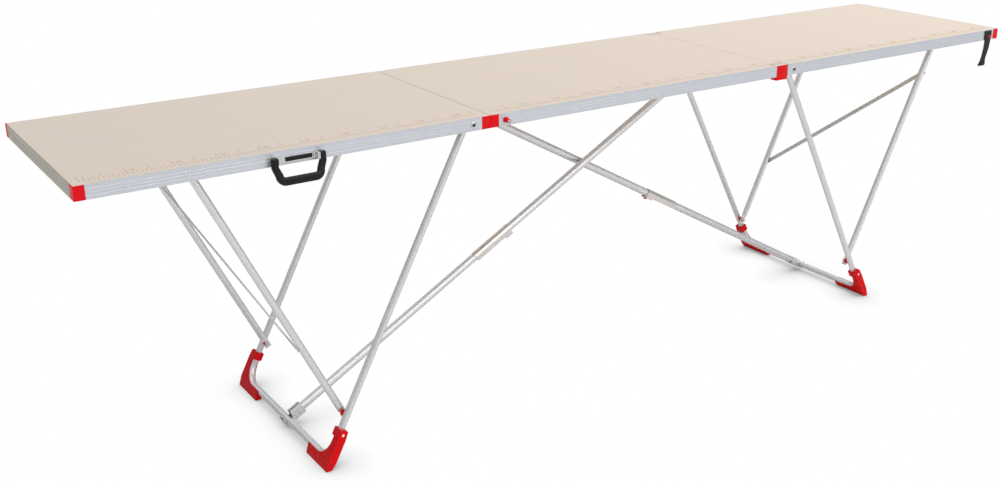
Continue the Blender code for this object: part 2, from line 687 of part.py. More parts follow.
def brace_upper(word, side):
    """Upper half of a brace: an eye in the fork, and the knuckle's lug at the lower end."""
    name = word + "_upper_tube"
    top = Vector((-side * BRACE_TOP_X, 0, ROD_Z))
    tube = rod(name, brace_point(side, KNUCKLE_A + KNUCKLE_LUG + GAP, 0, 0),
               brace_point(side, BRACE_LENGTH - BRACE_NECK / 2, 0, 0), BRACE_RADIUS, "tube", top)

    def place(a, n, t):
        return brace_point(side, a, n, t)
    eye = arc((BRACE_LENGTH, 0), BRACE_EYE, -math.pi / 2, math.pi / 2, 8)
    start = BRACE_LENGTH - BRACE_NECK
    eye = [(start, -BRACE_EYE)] + eye + [(start, BRACE_EYE)]
    half = BRACE_EYE_THICK / 2
    lug = arc((KNUCKLE_A, -KNUCKLE_DROP), KNUCKLE_LUG, math.pi / 2, math.tau, 12)
    lug = lug + [(KNUCKLE_A + KNUCKLE_LUG_LENGTH, -KNUCKLE_DROP + KNUCKLE_LUG)]
    wide = KNUCKLE_LUG_THICK / 2
    combine(tube, [prism(name + "_eye", eye, place, -half, half, "tube"),
                   prism(name + "_lug", lug, place, -wide, wide, "tube")], "UNION")
    eye_bore = rod(name + "_eye_bore", brace_point(side, BRACE_LENGTH, 0, -OVERRUN),
                   brace_point(side, BRACE_LENGTH, 0, OVERRUN), BRACE_PIN_RADIUS + PIN_CLEARANCE, "tube")
    lug_bore = rod(name + "_lug_bore", brace_point(side, KNUCKLE_A, -KNUCKLE_DROP, -OVERRUN),
                   brace_point(side, KNUCKLE_A, -KNUCKLE_DROP, OVERRUN),
                   KNUCKLE_PIN_RADIUS + PIN_CLEARANCE, "tube")
    return combine(tube, [eye_bore, lug_bore], "DIFFERENCE")


def brace_lower(word, side):
    """Lower half of a brace with the open clip that holds the crossbar."""
    name = word + "_lower_tube"
    knuckle = brace_point(side, KNUCKLE_A, -KNUCKLE_DROP, 0)

    def place(a, n, t):
        return brace_point(side, a, n, t)
    tube = rod(name, brace_point(side, BRACE_FOOT_START, 0, 0),
               brace_point(side, KNUCKLE_A - KNUCKLE_LUG - GAP, 0, 0), BRACE_RADIUS, "tube", knuckle)
    grip = LEG_TUBE_RADIUS + CLIP_EASE
    outer = BRACE_RADIUS + CLIP_WALL
    inner = BRACE_RADIUS - CLIP_EASE
    outline = [(-CLIP_NOSE, -outer), (CLIP_LENGTH, -outer), (CLIP_LENGTH, outer), (-CLIP_NOSE, outer)]
    clip = prism(name + "_clip", outline, place, -outer, outer, "steel")
    hollow = [(-OVERRUN, -inner), (CLIP_LENGTH + OVERRUN, -inner), (CLIP_LENGTH + OVERRUN, OVERRUN),
              (-OVERRUN, OVERRUN)]
    mouth = [(-grip, 0), (grip + CLIP_WIDEN, 0), (grip + CLIP_WIDEN, OVERRUN), (-grip, OVERRUN)]
    tools = [
        prism(name + "_clip_hollow", hollow, place, -inner, inner, "steel"),
        rod(name + "_clip_seat", brace_point(side, 0, 0, -OVERRUN), brace_point(side, 0, 0, OVERRUN),
            grip, "steel"),
        prism(name + "_clip_mouth", mouth, place, -OVERRUN, OVERRUN, "steel"),
    ]
    combine(clip, tools, "DIFFERENCE")
    return combine(tube, [clip], "UNION")


def brace_sleeve(word, side):
    """Folded channel over the knuckle, square at one end and slanted at the other."""
    name = word + "_sleeve"
    knuckle = brace_point(side, KNUCKLE_A, -KNUCKLE_DROP, 0)

    def place(a, n, t):
        return brace_point(side, a, n, t)
    inner = BRACE_RADIUS + GAP
    outer = inner + SLEEVE_WALL
    skirt = -SLEEVE_SKIRT
    chin = SLEEVE_END - SLEEVE_CHIN_LENGTH
    outline = [(SLEEVE_START + SLEEVE_SLANT, outer), (SLEEVE_END, outer), (SLEEVE_END, -SLEEVE_CHIN),
               (chin, -SLEEVE_CHIN), (chin - SLEEVE_SLANT, -BRACE_RADIUS + skirt),
               (SLEEVE_START, -BRACE_RADIUS + skirt)]
    shell = prism(name, outline, place, -outer, outer, "steel", knuckle)
    hollow = [(-OVERRUN, -OVERRUN), (BRACE_LENGTH, -OVERRUN), (BRACE_LENGTH, inner), (-OVERRUN, inner)]
    combine(shell, [prism(name + "_hollow", hollow, place, -inner, inner, "steel")], "DIFFERENCE")
    pin = rod(name + "_pin", brace_point(side, KNUCKLE_A, -KNUCKLE_DROP, -outer),
              brace_point(side, KNUCKLE_A, -KNUCKLE_DROP, outer), KNUCKLE_PIN_RADIUS, "steel")
    return combine(shell, [pin], "UNION")


def handle_plate(origin):
    """Black plate on the front rail with two ears and their pins."""
    z = TABLE_HEIGHT - HANDLE_DROP
    half = HANDLE_LENGTH / 2
    tall = HANDLE_PLATE_HEIGHT / 2
    axis_y = FACE_Y - HANDLE_REACH
    plate = box("handle_plate", (HANDLE_X - half, FACE_Y - HANDLE_PLATE_THICK, z - tall),
                (HANDLE_X + half, FACE_Y, z + tall), "black", origin)
    extras = []
    for number, way in enumerate((-1, 1)):
        xs = sorted((HANDLE_X + way * half, HANDLE_X + way * (half - HANDLE_EAR)))
        extras.append(box(f"handle_ear_{number}", (xs[0], axis_y - GRIP_RADIUS, z - tall),
                          (xs[1], FACE_Y - HANDLE_PLATE_THICK / 2, z + tall), "black"))
        tip = HANDLE_X + way * (GRIP_HALF_TOP + GRIP_RADIUS / 2)
        extras.append(rod(f"handle_pin_{number}", (HANDLE_X + way * (half - HANDLE_EAR / 2), axis_y, z),
                          (tip, axis_y, z), GRIP_PIN_RADIUS, "black", sides=FINE_SIDES))
    return combine(plate, extras, "UNION")


def handle_grip():
    """Black bail hanging from the plate's pins."""
    z = TABLE_HEIGHT - HANDLE_DROP
    axis_y = FACE_Y - HANDLE_REACH
    origin = Vector((HANDLE_X, axis_y, z))
    corner = arc((GRIP_HALF_LOW - GRIP_CORNER, -GRIP_FALL + GRIP_CORNER), GRIP_CORNER, 0, -math.pi / 2,
                 CORNER_STEPS)
    side = [(GRIP_HALF_TOP, GRIP_RADIUS), (GRIP_HALF_TOP, -2 * GRIP_RADIUS)] + corner
    outline = side + [(-a, b) for a, b in reversed(side)]
    path = [(HANDLE_X + a, axis_y, z + b) for a, b in outline]
    grip = bent_tube("handle_grip", path, GRIP_RADIUS, "black", origin, 2)
    reach = GRIP_HALF_TOP + OVERRUN
    bore = rod("handle_grip_bore", (HANDLE_X - reach, axis_y, z), (HANDLE_X + reach, axis_y, z),
               GRIP_PIN_RADIUS + PIN_CLEARANCE, "black", sides=FINE_SIDES)
    return combine(grip, [bore], "DIFFERENCE")


def closure_strap():
    """Black strap that hangs from its rivet on the right panel's front rail."""
    z = TABLE_HEIGHT
    origin = Vector((STRAP_X, FACE_Y, z - STRAP_PIVOT_DROP))
    end = arc((0, -STRAP_FALL + STRAP_HALF_LOW), STRAP_HALF_LOW, 0, -math.pi, 8)
    outline = [(-STRAP_HALF_TOP, -STRAP_TOP_DROP), (STRAP_HALF_TOP, -STRAP_TOP_DROP),
               (STRAP_HALF_TOP, -STRAP_SHOULDER), (STRAP_HALF_NECK, -STRAP_SHOULDER - STRAP_HALF_NECK)]
    outline = outline + end + [(-STRAP_HALF_NECK, -STRAP_SHOULDER - STRAP_HALF_NECK),
                               (-STRAP_HALF_TOP, -STRAP_SHOULDER)]

    def place(a, b, t):
        return Vector((STRAP_X + a, t, z + b))
    strap = prism("closure_strap", outline, place, FACE_Y - STRAP_THICK, FACE_Y, "black", origin)
    rivet = rod("closure_strap_rivet", (STRAP_X, FACE_Y - STRAP_THICK / 2, origin.z),
                (STRAP_X, FACE_Y - STRAP_THICK - RIVET_HEAD, origin.z), RIVET_RADIUS, "black")
    combine(strap, [rivet], "UNION")
    hole = rod("closure_strap_hole", (STRAP_X, FACE_Y - OVERRUN, z - STRAP_HOLE_DROP),
               (STRAP_X, FACE_Y + OVERRUN, z - STRAP_HOLE_DROP), STRAP_HOLE_RADIUS, "black")
    return combine(strap, [hole], "DIFFERENCE")


def closure_stud():
    z = TABLE_HEIGHT - LEG_PIVOT_DROP
    stud = rod("closure_stud", (STUD_X, FACE_Y, z), (STUD_X, FACE_Y - STUD_LENGTH, z), STUD_RADIUS, "red")
    head = rod("closure_stud_head", (STUD_X, FACE_Y - STUD_LENGTH + STUD_HEAD, z),
               (STUD_X, FACE_Y - STUD_LENGTH, z), STUD_HEAD_RADIUS, "steel")
    return combine(stud, [head], "UNION")


def build_leg_group(word, side, panel_origin):
    leg_frame(word, side)
    strut_rod(word, side)
    strut_carrier(word, side, panel_origin)
    diagonal_bar(word, side)
    for end_word, end in ENDS.items():
        foot(word, side, end_word, end)
        strut_pin(word, side, end_word, end)
        strut(word, side, end_word, end)


def build_brace(word, side):
    brace_upper(word, side)
    brace_lower(word, side)
    brace_sleeve(word, side)


def main():
    left_hinge = Vector((-HALF_PANEL, 0, HINGE_Z))
    link_a = Vector((HALF_PANEL - LINK_PIVOTS / 2, 0, LINK_Z))
    link_b = Vector((HALF_PANEL + LINK_PIVOTS / 2, 0, LINK_Z))
    build_panel("left", -HALF_TABLE, -HALF_PANEL, left_hinge)
    mid_rails = build_panel("mid", -HALF_PANEL, HALF_PANEL, Vector())
    right_rails = build_panel("right", HALF_PANEL, HALF_TABLE, link_b)
    brace_bracket(mid_rails[0], RIGHT)
    brace_bracket(mid_rails[1], LEFT)
    add_link_ears(mid_rails[1], LEFT)
    add_link_ears(right_rails[0], RIGHT)
    for end_word, end in ENDS.items():
        hinge_leaf(f"left_{end_word}_hinge_leaf", LEFT, end, True, left_hinge)
        hinge_leaf(f"mid_{end_word}_hinge_leaf", RIGHT, end, False, Vector())
        link_block(f"{end_word}_link_block", end, link_a)
    build_leg_group("left", LEFT, left_hinge)
    build_leg_group("right", RIGHT, link_b)
    build_brace("left_brace", LEFT)
    build_brace("right_brace", RIGHT)
    handle_plate(left_hinge)
    handle_grip()
    closure_strap()
    closure_stud()
    centre_depth()


def centre_depth():
    """Move everything so that the depth from the handle's face to the rear rail is centred on y = 0."""
    for piece in bpy.context.scene.objects:
        piece.location.y += FRONT_REACH / 2


clear_scene()
MATERIALS = {name: make_material(name, *values) for name, values in finishes().items()}
main()
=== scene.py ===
"""Looks of a folding pasting table: finishes for the frame's parts, smooth tubes, moulded feet, handle, strap,
fasteners, the printed centimetre scale, and the studio it stands in. Metres, +Z up, floor at z = 0."""

import json
import logging
import math
from abc import ABC, abstractmethod
from collections.abc import Sequence
from dataclasses import dataclass
from enum import Enum
from functools import reduce

import bmesh
import bpy
import numpy as np
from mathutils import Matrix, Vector

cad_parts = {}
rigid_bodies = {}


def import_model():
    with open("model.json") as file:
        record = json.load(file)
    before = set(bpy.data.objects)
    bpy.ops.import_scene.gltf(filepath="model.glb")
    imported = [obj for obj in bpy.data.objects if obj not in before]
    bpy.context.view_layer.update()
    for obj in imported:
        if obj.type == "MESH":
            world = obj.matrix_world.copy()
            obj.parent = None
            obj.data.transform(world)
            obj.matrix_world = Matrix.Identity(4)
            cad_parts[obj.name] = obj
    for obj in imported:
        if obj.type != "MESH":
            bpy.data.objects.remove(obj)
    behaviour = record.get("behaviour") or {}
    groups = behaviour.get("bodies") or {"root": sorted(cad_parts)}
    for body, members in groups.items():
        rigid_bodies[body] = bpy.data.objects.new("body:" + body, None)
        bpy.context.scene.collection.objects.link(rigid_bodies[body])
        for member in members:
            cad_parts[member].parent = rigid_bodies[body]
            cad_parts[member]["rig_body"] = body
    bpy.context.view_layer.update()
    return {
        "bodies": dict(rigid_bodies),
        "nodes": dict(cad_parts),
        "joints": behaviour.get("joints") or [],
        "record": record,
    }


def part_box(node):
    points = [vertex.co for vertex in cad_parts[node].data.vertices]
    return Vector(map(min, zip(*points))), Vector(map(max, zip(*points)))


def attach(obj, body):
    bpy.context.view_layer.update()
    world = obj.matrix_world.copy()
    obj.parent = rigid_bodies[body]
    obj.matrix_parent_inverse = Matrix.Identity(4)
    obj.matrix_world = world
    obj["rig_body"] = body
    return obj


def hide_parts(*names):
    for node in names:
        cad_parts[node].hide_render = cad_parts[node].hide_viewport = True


LOG = logging.getLogger("pasting_table")
MILLIMETRE = 0.001
# A foot stands this far out from its pivot, and the crossbar lies this far up the leg from the floor.
LEG_REACH = 0.4355
CROSSBAR_RISE = 0.024
# The two braces pass beside each other, each this far off the table's middle line.
BRACE_OFFSET = 0.013
# From the middle line to the inner faces of the long rails.
PANEL_INSIDE = 0.2977
# Mouldings closer than this to the table's middle stand at a seam.
SEAM_BAND = 1.0
# Length of board that a link block takes up.
LINK_NOTCH = 0.022
TUBE_SIDES = 40
ALONG = np.array([1.0, 0.0, 0.0])
ACROSS = np.array([0.0, 1.0, 0.0])
FRONT = np.array([0.0, -1.0, 0.0])
UP = np.array([0.0, 0.0, 1.0])
SEAM_RAILS = ("left_right_end_rail", "mid_left_end_rail", "mid_right_end_rail", "right_left_end_rail")
SIDES = {"left": -1, "right": 1}
ENDS = {"front": -1, "rear": 1}


class Axis(Enum):
    """The direction that a rail was drawn in."""

    LENGTH = 0
    DEPTH = 1


class Pattern(Enum):
    """Where a finish reads its pattern: the object's own axes, or the straightened tube."""

    OBJECT = "object"
    TRACK = "track"


def linear(code: str) -> tuple[float, float, float, float]:
    """Turn an sRGB hex colour into linear light.

    Args:
        code: six hex digits after a hash sign.

    Returns:
        Red, green, blue and an alpha of one.
    """
    parts = np.array([int(code[k:k + 2], 16) for k in (1, 3, 5)]) / 255
    low = parts / 12.92
    high = ((parts + 0.055) / 1.055) ** 2.4
    red, green, blue = np.where(parts <= 0.04045, low, high)
    return float(red), float(green), float(blue), 1.0


def add_node(tree: bpy.types.NodeTree, kind: str, inputs: dict | None = None, **settings: object) -> bpy.types.Node:
    """Add a node, set its options, and set or link its inputs.

    Args:
        tree: the node tree.
        kind: the node's type name.
        inputs: socket name or number to a value, or to an output socket that is linked to it.
        **settings: options of the node.

    Returns:
        The new node.
    """
    node = tree.nodes.new(kind)
    for option, value in settings.items():
        setattr(node, option, value)
    for key, value in (inputs or {}).items():
        if isinstance(value, bpy.types.NodeSocket):
            tree.links.new(value, node.inputs[key])
        else:
            node.inputs[key].default_value = value
    return node


def empty_tree(owner: bpy.types.Material | bpy.types.World) -> bpy.types.NodeTree:
    """Switch a material or a world to nodes and empty its tree."""
    owner.use_nodes = True
    owner.node_tree.nodes.clear()
    return owner.node_tree


def pattern_vector(tree: bpy.types.NodeTree, pattern: Pattern,
                   periods: tuple[float, float, float]) -> bpy.types.NodeSocket:
    """Coordinates of a pattern, one unit for each of its real periods.

    Args:
        tree: the node tree.
        pattern: where the coordinates come from.
        periods: real size of the pattern in millimetres along the three axes.

    Returns:
        The vector socket.
    """
    if pattern is Pattern.TRACK:
        source = add_node(tree, "ShaderNodeAttribute", attribute_name="track").outputs["Vector"]
    else:
        source = add_node(tree, "ShaderNodeTexCoord").outputs["Object"]
    scale = tuple(1 / (period * MILLIMETRE) for period in periods)
    return add_node(tree, "ShaderNodeMapping", {"Vector": source, "Scale": scale}).outputs["Vector"]


def noise(tree: bpy.types.NodeTree, vector: bpy.types.NodeSocket, detail: float) -> bpy.types.NodeSocket:
    """Noise of period one on the given coordinates, about 0.5 on average."""
    return add_node(tree, "ShaderNodeTexNoise", {"Vector": vector, "Scale": 1.0, "Detail": detail}).outputs["Fac"]


def even_noise(tree: bpy.types.NodeTree, period: float, detail: float,
               pattern: Pattern = Pattern.OBJECT) -> bpy.types.NodeSocket:
    """Noise of one real period in millimetres in every direction."""
    return noise(tree, pattern_vector(tree, pattern, (period,) * 3), detail)


def ramp(tree: bpy.types.NodeTree, value: bpy.types.NodeSocket, low: float, high: float) -> bpy.types.NodeSocket:
    """Stretch a noise value from its usual span of 0.3 to 0.7 to the given span."""
    inputs = {"Value": value, "From Min": 0.3, "From Max": 0.7, "To Min": low, "To Max": high}
    return add_node(tree, "ShaderNodeMapRange", inputs).outputs["Result"]


def mix_colours(tree: bpy.types.NodeTree, share: bpy.types.NodeSocket, first: object,
                second: object) -> bpy.types.NodeSocket:
    """Blend two colours, each a linear colour or a socket, by a share from 0 to 1."""
    node = add_node(tree, "ShaderNodeMix", data_type="RGBA")
    tree.links.new(share, node.inputs[0])
    for number, colour in ((6, first), (7, second)):
        if isinstance(colour, bpy.types.NodeSocket):
            tree.links.new(colour, node.inputs[number])
        else:
            node.inputs[number].default_value = colour
    return node.outputs[2]


def mix_shaders(tree: bpy.types.NodeTree, share: bpy.types.NodeSocket, first: bpy.types.NodeSocket,
                second: bpy.types.NodeSocket) -> bpy.types.NodeSocket:
    """Blend two shaders by a share from 0 to 1."""
    return add_node(tree, "ShaderNodeMixShader", {0: share, 1: first, 2: second}).outputs[0]


def set_look(tree: bpy.types.NodeTree, shader: bpy.types.Node, colour: bpy.types.NodeSocket,
             value: bpy.types.NodeSocket, roughness: float, span: tuple[float, float]) -> None:
    """Link a shader's colour, and let a noise value vary its roughness.

    Args:
        tree: the node tree.
        shader: the Principled shader.
        colour: the colour's socket.
        value: the noise value.
        roughness: the middle roughness.
        span: how far the roughness goes below and above the middle.
    """
    tree.links.new(colour, shader.inputs["Base Color"])
    tree.links.new(ramp(tree, value, roughness - span[0], roughness + span[1]), shader.inputs["Roughness"])


def add_bump(tree: bpy.types.NodeTree, shader: bpy.types.Node, height: bpy.types.NodeSocket, depth: float) -> None:
    """Give a shader a relief of the given depth in millimetres."""
    inputs = {"Height": height, "Distance": depth * MILLIMETRE, "Strength": 1.0}
    bump = add_node(tree, "ShaderNodeBump", inputs)
    tree.links.new(bump.outputs["Normal"], shader.inputs["Normal"])


class Finish(ABC):
    """The look of a surface, made into a material from its colours and the real sizes of its patterns."""

    def material(self, name: str) -> bpy.types.Material:
        """Make the material.

        Args:
            name: the material's name.

        Returns:
            The material.
        """
        material = bpy.data.materials.new(name)
        tree = empty_tree(material)
        shader = add_node(tree, "ShaderNodeBsdfPrincipled")
        add_node(tree, "ShaderNodeOutputMaterial", {"Surface": shader.outputs["BSDF"]})
        self.lay(tree, shader)
        return material

    @abstractmethod
    def lay(self, tree: bpy.types.NodeTree, shader: bpy.types.Node) -> None:
        """Give the shader its colour, roughness and relief."""


@dataclass(frozen=True)
class BoardFinish(Finish):
    """Birch-faced fibreboard with a sealed face: warm, matt, with soft long figure and fine specks.

    The peeled veneer's figure runs along the table in waves about 250 mm long and 30 mm wide. Pores are
    about 0.4 mm across in the real face; they are drawn longer and wider so that they show. The ground
    goes from the darker left colour to the lighter right one over reach metres to each side of the table's
    middle: painted shade towards the left end and painted light towards the right.
    """

    # Darker left and lighter right ground colours: painted shade and painted light along the table.
    left: str
    right: str
    figure: str
    reach: float = 1.5
    roughness: float = 0.52
    span: tuple[float, float] = (0.05, 0.08)
    wave_size: tuple[float, float, float] = (250, 30, 30)
    wave_share: float = 0.26
    pore_size: tuple[float, float, float] = (12, 1.2, 1.2)
    pore_share: float = 0.16
    relief: float = 0.03

    def lay(self, tree: bpy.types.NodeTree, shader: bpy.types.Node) -> None:
        """Paint shade into the ground from end to end of the table, darker at the left, with waves and pores over it.
        """
        place = add_node(tree, "ShaderNodeTexCoord").outputs["Object"]
        parts = add_node(tree, "ShaderNodeSeparateXYZ", {"Vector": place})
        # Painted shade: the board's colour runs from the darker left end to the lighter right end.
        spread = {"Value": parts.outputs["X"], "From Min": -self.reach, "From Max": self.reach}
        share = add_node(tree, "ShaderNodeMapRange", spread).outputs["Result"]
        ground = mix_colours(tree, share, linear(self.left), linear(self.right))
        waves = noise(tree, pattern_vector(tree, Pattern.OBJECT, self.wave_size), 4)
        clouds = mix_colours(tree, ramp(tree, waves, 0, self.wave_share), ground, linear(self.figure))
        pores = noise(tree, pattern_vector(tree, Pattern.OBJECT, self.pore_size), 3)
        colour = mix_colours(tree, ramp(tree, pores, 0, self.pore_share), clouds, linear(self.figure))
        set_look(tree, shader, colour, pores, self.roughness, self.span)
        add_bump(tree, shader, pores, self.relief)


@dataclass(frozen=True)
class DrawnMetalFinish(Finish):
    """Metal drawn through a die: bright, with faint long lines along it and slightly cloudy from handling."""

    base: str
    line: str
    roughness: float
    pattern: Pattern = Pattern.TRACK
    axis: Axis = Axis.LENGTH
    line_width: float = 2.4
    line_length: float = 260.0
    metallic: float = 1.0
    span: tuple[float, float] = (0.06, 0.1)
    line_share: float = 0.45
    cloud_size: float = 35.0
    cloud_share: float = 0.22
    relief: float = 0.004

    def lay(self, tree: bpy.types.NodeTree, shader: bpy.types.Node) -> None:
        """Draw the lines along the metal, and cloud it over."""
        periods = [self.line_width] * 3
        periods[2 if self.pattern is Pattern.TRACK else self.axis.value] = self.line_length
        lines = noise(tree, pattern_vector(tree, self.pattern, tuple(periods)), 3)
        clouds = even_noise(tree, self.cloud_size, 2, self.pattern)
        drawn = mix_colours(tree, ramp(tree, lines, 0, self.line_share), linear(self.base), linear(self.line))
        colour = mix_colours(tree, ramp(tree, clouds, 0, self.cloud_share), drawn, linear(self.line))
        set_look(tree, shader, colour, lines, self.roughness, self.span)
        shader.inputs["Metallic"].default_value = self.metallic
        add_bump(tree, shader, lines, self.relief)


@dataclass(frozen=True)
class PlatedSteelFinish(Finish):
    """Zinc-plated pressed steel: grey, soft spangle in patches, dulled a little by handling."""

    base: str
    patch: str
    roughness: float
    patch_size: float = 6.0
    metallic: float = 1.0
    span: tuple[float, float] = (0.05, 0.1)
    patch_share: float = 0.7
    grain: float = 0.8
    relief: float = 0.01

    def lay(self, tree: bpy.types.NodeTree, shader: bpy.types.Node) -> None:
        """Spread the patches, with a fine grain in the plating."""
        spots = even_noise(tree, self.patch_size, 3)
        colour = mix_colours(tree, ramp(tree, spots, 0, self.patch_share), linear(self.base), linear(self.patch))
        set_look(tree, shader, colour, spots, self.roughness, self.span)
        shader.inputs["Metallic"].default_value = self.metallic
        add_bump(tree, shader, even_noise(tree, self.grain, 2), self.relief)


@dataclass(frozen=True)
class MouldedFinish(Finish):
    """Moulded plastic or rubber: an even colour with a fine spark-eroded grain."""

    base: str
    worn: str
    roughness: float
    grain: float = 0.6
    depth: float = 0.03
    specular: float = 0.3
    span: tuple[float, float] = (0.04, 0.06)
    scuff_size: float = 18.0
    scuff_share: float = 0.5

    def lay(self, tree: bpy.types.NodeTree, shader: bpy.types.Node) -> None:
        """Scuff the colour a little and emboss the grain."""
        scuffs = even_noise(tree, self.scuff_size, 4)
        colour = mix_colours(tree, ramp(tree, scuffs, 0, self.scuff_share), linear(self.base), linear(self.worn))
        set_look(tree, shader, colour, scuffs, self.roughness, self.span)
        shader.inputs["Specular IOR Level"].default_value = self.specular
        add_bump(tree, shader, even_noise(tree, self.grain, 2), self.depth)


@dataclass(frozen=True)
class InkFinish(Finish):
    """Screen-printed ink on the board: thin, matt and a little uneven."""

    base: str
    thin: str
    patch_size: float = 7.0
    roughness: float = 0.6

    def lay(self, tree: bpy.types.NodeTree, shader: bpy.types.Node) -> None:
        """Thin the ink out in patches."""
        patches = even_noise(tree, self.patch_size, 3)
        colour = mix_colours(tree, ramp(tree, patches, 0, 1), linear(self.base), linear(self.thin))
        tree.links.new(colour, shader.inputs["Base Color"])
        shader.inputs["Roughness"].default_value = self.roughness


class Paint:
    """The table's finishes, each made once and named for the part it is on."""

    def __init__(self) -> None:
        """Make every material."""
        self.made = {name: finish.material(name) for name, finish in self.finishes().items()}

    @staticmethod
    def finishes() -> dict[str, Finish]:
        """Finish of each kind of surface, by name."""
        return {
            # The first two colours paint shade along the table: darker at the left end, lighter at the right.
            "birch_faced_board": BoardFinish("#D0C5BA", "#F0E2D2", "#E4D0BE"),
            "printed_scale_ink": InkFinish("#AC7F6B", "#BF9884"),
            "anodised_rail": DrawnMetalFinish("#CBCED3", "#B9BEC5", 0.45, Pattern.OBJECT, metallic=0.7),
            # Darker, warmer copy of the long rails' metal: painted shade on the end rails, which get less light than
            # the front.
            "end_rail_painted_shade": DrawnMetalFinish("#AAA399", "#958E84", 0.4, Pattern.OBJECT, Axis.DEPTH, metallic=0.8),
            "satin_tube": DrawnMetalFinish("#DEDEE0", "#C6C6C9", 0.4),
            "satin_bar": DrawnMetalFinish("#DEDEE0", "#C6C6C9", 0.4, Pattern.OBJECT),
            "zinc_steel": PlatedSteelFinish("#DAD6D2", "#C6C1BC", 0.26, 14.0),
            "flat_bar": PlatedSteelFinish("#CECECB", "#BEBEBB", 0.5, metallic=0.35),
            "bright_fastener": PlatedSteelFinish("#D5D5D6", "#B5B5B6", 0.2, 3.0),
            "dark_fastener": PlatedSteelFinish("#4A4A4E", "#333337", 0.4, 3.0),
            "red_moulding": MouldedFinish("#DE0A18", "#D20814", 0.42, specular=0.12),
            "red_foot": MouldedFinish("#D20610", "#C6050E", 0.45, specular=0.1),
            "black_moulding": MouldedFinish("#131313", "#1B1B1B", 0.42, specular=0.2),
            "black_rubber": MouldedFinish("#181818", "#222222", 0.6, 0.9, 0.05),
            "pale_plug": MouldedFinish("#EDE6DC", "#DCD4C8", 0.5),
        }

    def dress(self, piece: bpy.types.Object, name: str) -> None:
        """Give a piece one finish over its whole surface."""
        piece.data.materials.clear()
        piece.data.materials.append(self.made[name])

    def settle(self, piece: bpy.types.Object, name: str, body: str, slot: str, *nodes: str) -> None:
        """Dress a piece, join it to its body, and hide the nodes that it stands for.

        Args:
            piece: the finished piece.
            name: the finish's name.
            body: the body it rides on.
            slot: the record's material slot; not used.
            *nodes: names of the nodes it replaces.
        """
        self.dress(piece, name)
        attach(piece, body)
        if nodes:
            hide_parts(*nodes)
        LOG.info("%s rides on %s", piece.name, body)


@dataclass
class Surface:
    """Points and faces of a closed shape, with the straightened place of each point."""

    points: np.ndarray
    faces: list
    track: np.ndarray

    def joined(self, other: "Surface") -> "Surface":
        """This shape and another as one.

        Args:
            other: the shape that is added.

        Returns:
            Both shapes in one surface.
        """
        moved = [tuple(k + len(self.points) for k in face) for face in other.faces]
        return Surface(np.vstack([self.points, other.points]), self.faces + moved,
                       np.vstack([self.track, other.track]))


def facing_out(surface: Surface) -> Surface:
    """Turn the faces outwards: six times the volume is the sum of a . (b x c) over fans of each face.

    Args:
        surface: one closed shape.

    Returns:
        The same shape with its faces outwards.
    """
    fans = np.array([(face[0], face[k], face[k + 1]) for face in surface.faces for k in range(1, len(face) - 1)])
    a, b, c = (surface.points[fans[:, k]] - surface.points.mean(0) for k in range(3))
    if np.einsum("ij,ij->i", a, np.cross(b, c)).sum() >= 0:
        return surface
    return Surface(surface.points, [tuple(face[::-1]) for face in surface.faces], surface.track)


def wrap_rings(rings: np.ndarray, track: np.ndarray) -> Surface:
    """Close a stack of rings into a shape: quads from ring to ring, and a fan over each end.

    Args:
        rings: places of the points, by ring, point and axis.
        track: straightened places in the same order.

    Returns:
        The closed surface.
    """
    count, around = rings.shape[:2]
    grid = np.arange(count * around).reshape(count, around)
    beside = np.roll(grid, -1, axis=1)
    quads = np.stack([grid[:-1], beside[:-1], beside[1:], grid[1:]], axis=-1).reshape(-1, 4)
    first, last = count * around, count * around + 1
    low = np.stack([np.full(around, first), beside[0], grid[0]], axis=-1)
    high = np.stack([np.full(around, last), grid[-1], beside[-1]], axis=-1)
    points = np.vstack([rings.reshape(-1, 3), rings[0].mean(0), rings[-1].mean(0)])
    places = np.vstack([track.reshape(-1, 3), track[0].mean(0), track[-1].mean(0)])
    return facing_out(Surface(points, [tuple(f) for f in quads.tolist() + low.tolist() + high.tolist()], places))


def sweep(path: np.ndarray, plane: np.ndarray, sections: np.ndarray) -> Surface:
    """Carry a section along a path that lies in a plane.

    Each ring is path + normal * section x + plane * section y, where the normal is the plane's own
    normal crossed with the path's direction.

    Args:
        path: the centre line, by point and axis.
        plane: the normal of the path's plane.
        sections: the section at each point of the path, by ring, point and its two offsets.

    Returns:
        The closed surface.
    """
    along = np.gradient(path, axis=0)
    along /= np.linalg.norm(along, axis=1, keepdims=True)
    across = np.cross(plane, along)
    across /= np.linalg.norm(across, axis=1, keepdims=True)
    steps = np.linalg.norm(np.diff(path, axis=0), axis=1)
    run = np.concatenate([[0], np.cumsum(steps)])
    rings = path[:, None] + across[:, None] * sections[..., :1] + plane * sections[..., 1:]
    distance = np.broadcast_to(run[:, None, None], sections[..., :1].shape)
    return wrap_rings(rings, np.concatenate([sections, distance], axis=-1))


def round_section(radius: np.ndarray | float, sides: int) -> np.ndarray:
    """Circle points: radius * (cos t, sin t) for t round one turn.

    Args:
        radius: one radius, or one for each ring.
        sides: points round the circle.

    Returns:
        Offsets by ring, point and axis.
    """
    turn = np.linspace(0, math.tau, sides, endpoint=False)
    circle = np.stack([np.cos(turn), np.sin(turn)], axis=-1)
    return np.atleast_1d(radius)[:, None, None] * circle


def rounded_section(half_x: np.ndarray, half_y: np.ndarray, power: np.ndarray, sides: int) -> np.ndarray:
    """Superellipse points: half * sign(c) * |c| ** (2 / power), with c the cosine and then the sine.

    Args:
        half_x: half width of each ring.
        half_y: half height of each ring.
        power: 2 for an ellipse, larger for a squarer section.
        sides: points round the section.

    Returns:
        Offsets by ring, point and axis.
    """
    turn = np.linspace(0, math.tau, sides, endpoint=False)
    share = 2 / power[:, None]
    cosine, sine = np.cos(turn)[None], np.sin(turn)[None]
    x = half_x[:, None] * np.sign(cosine) * np.abs(cosine) ** share
    y = half_y[:, None] * np.sign(sine) * np.abs(sine) ** share
    return np.stack([x, y], axis=-1)


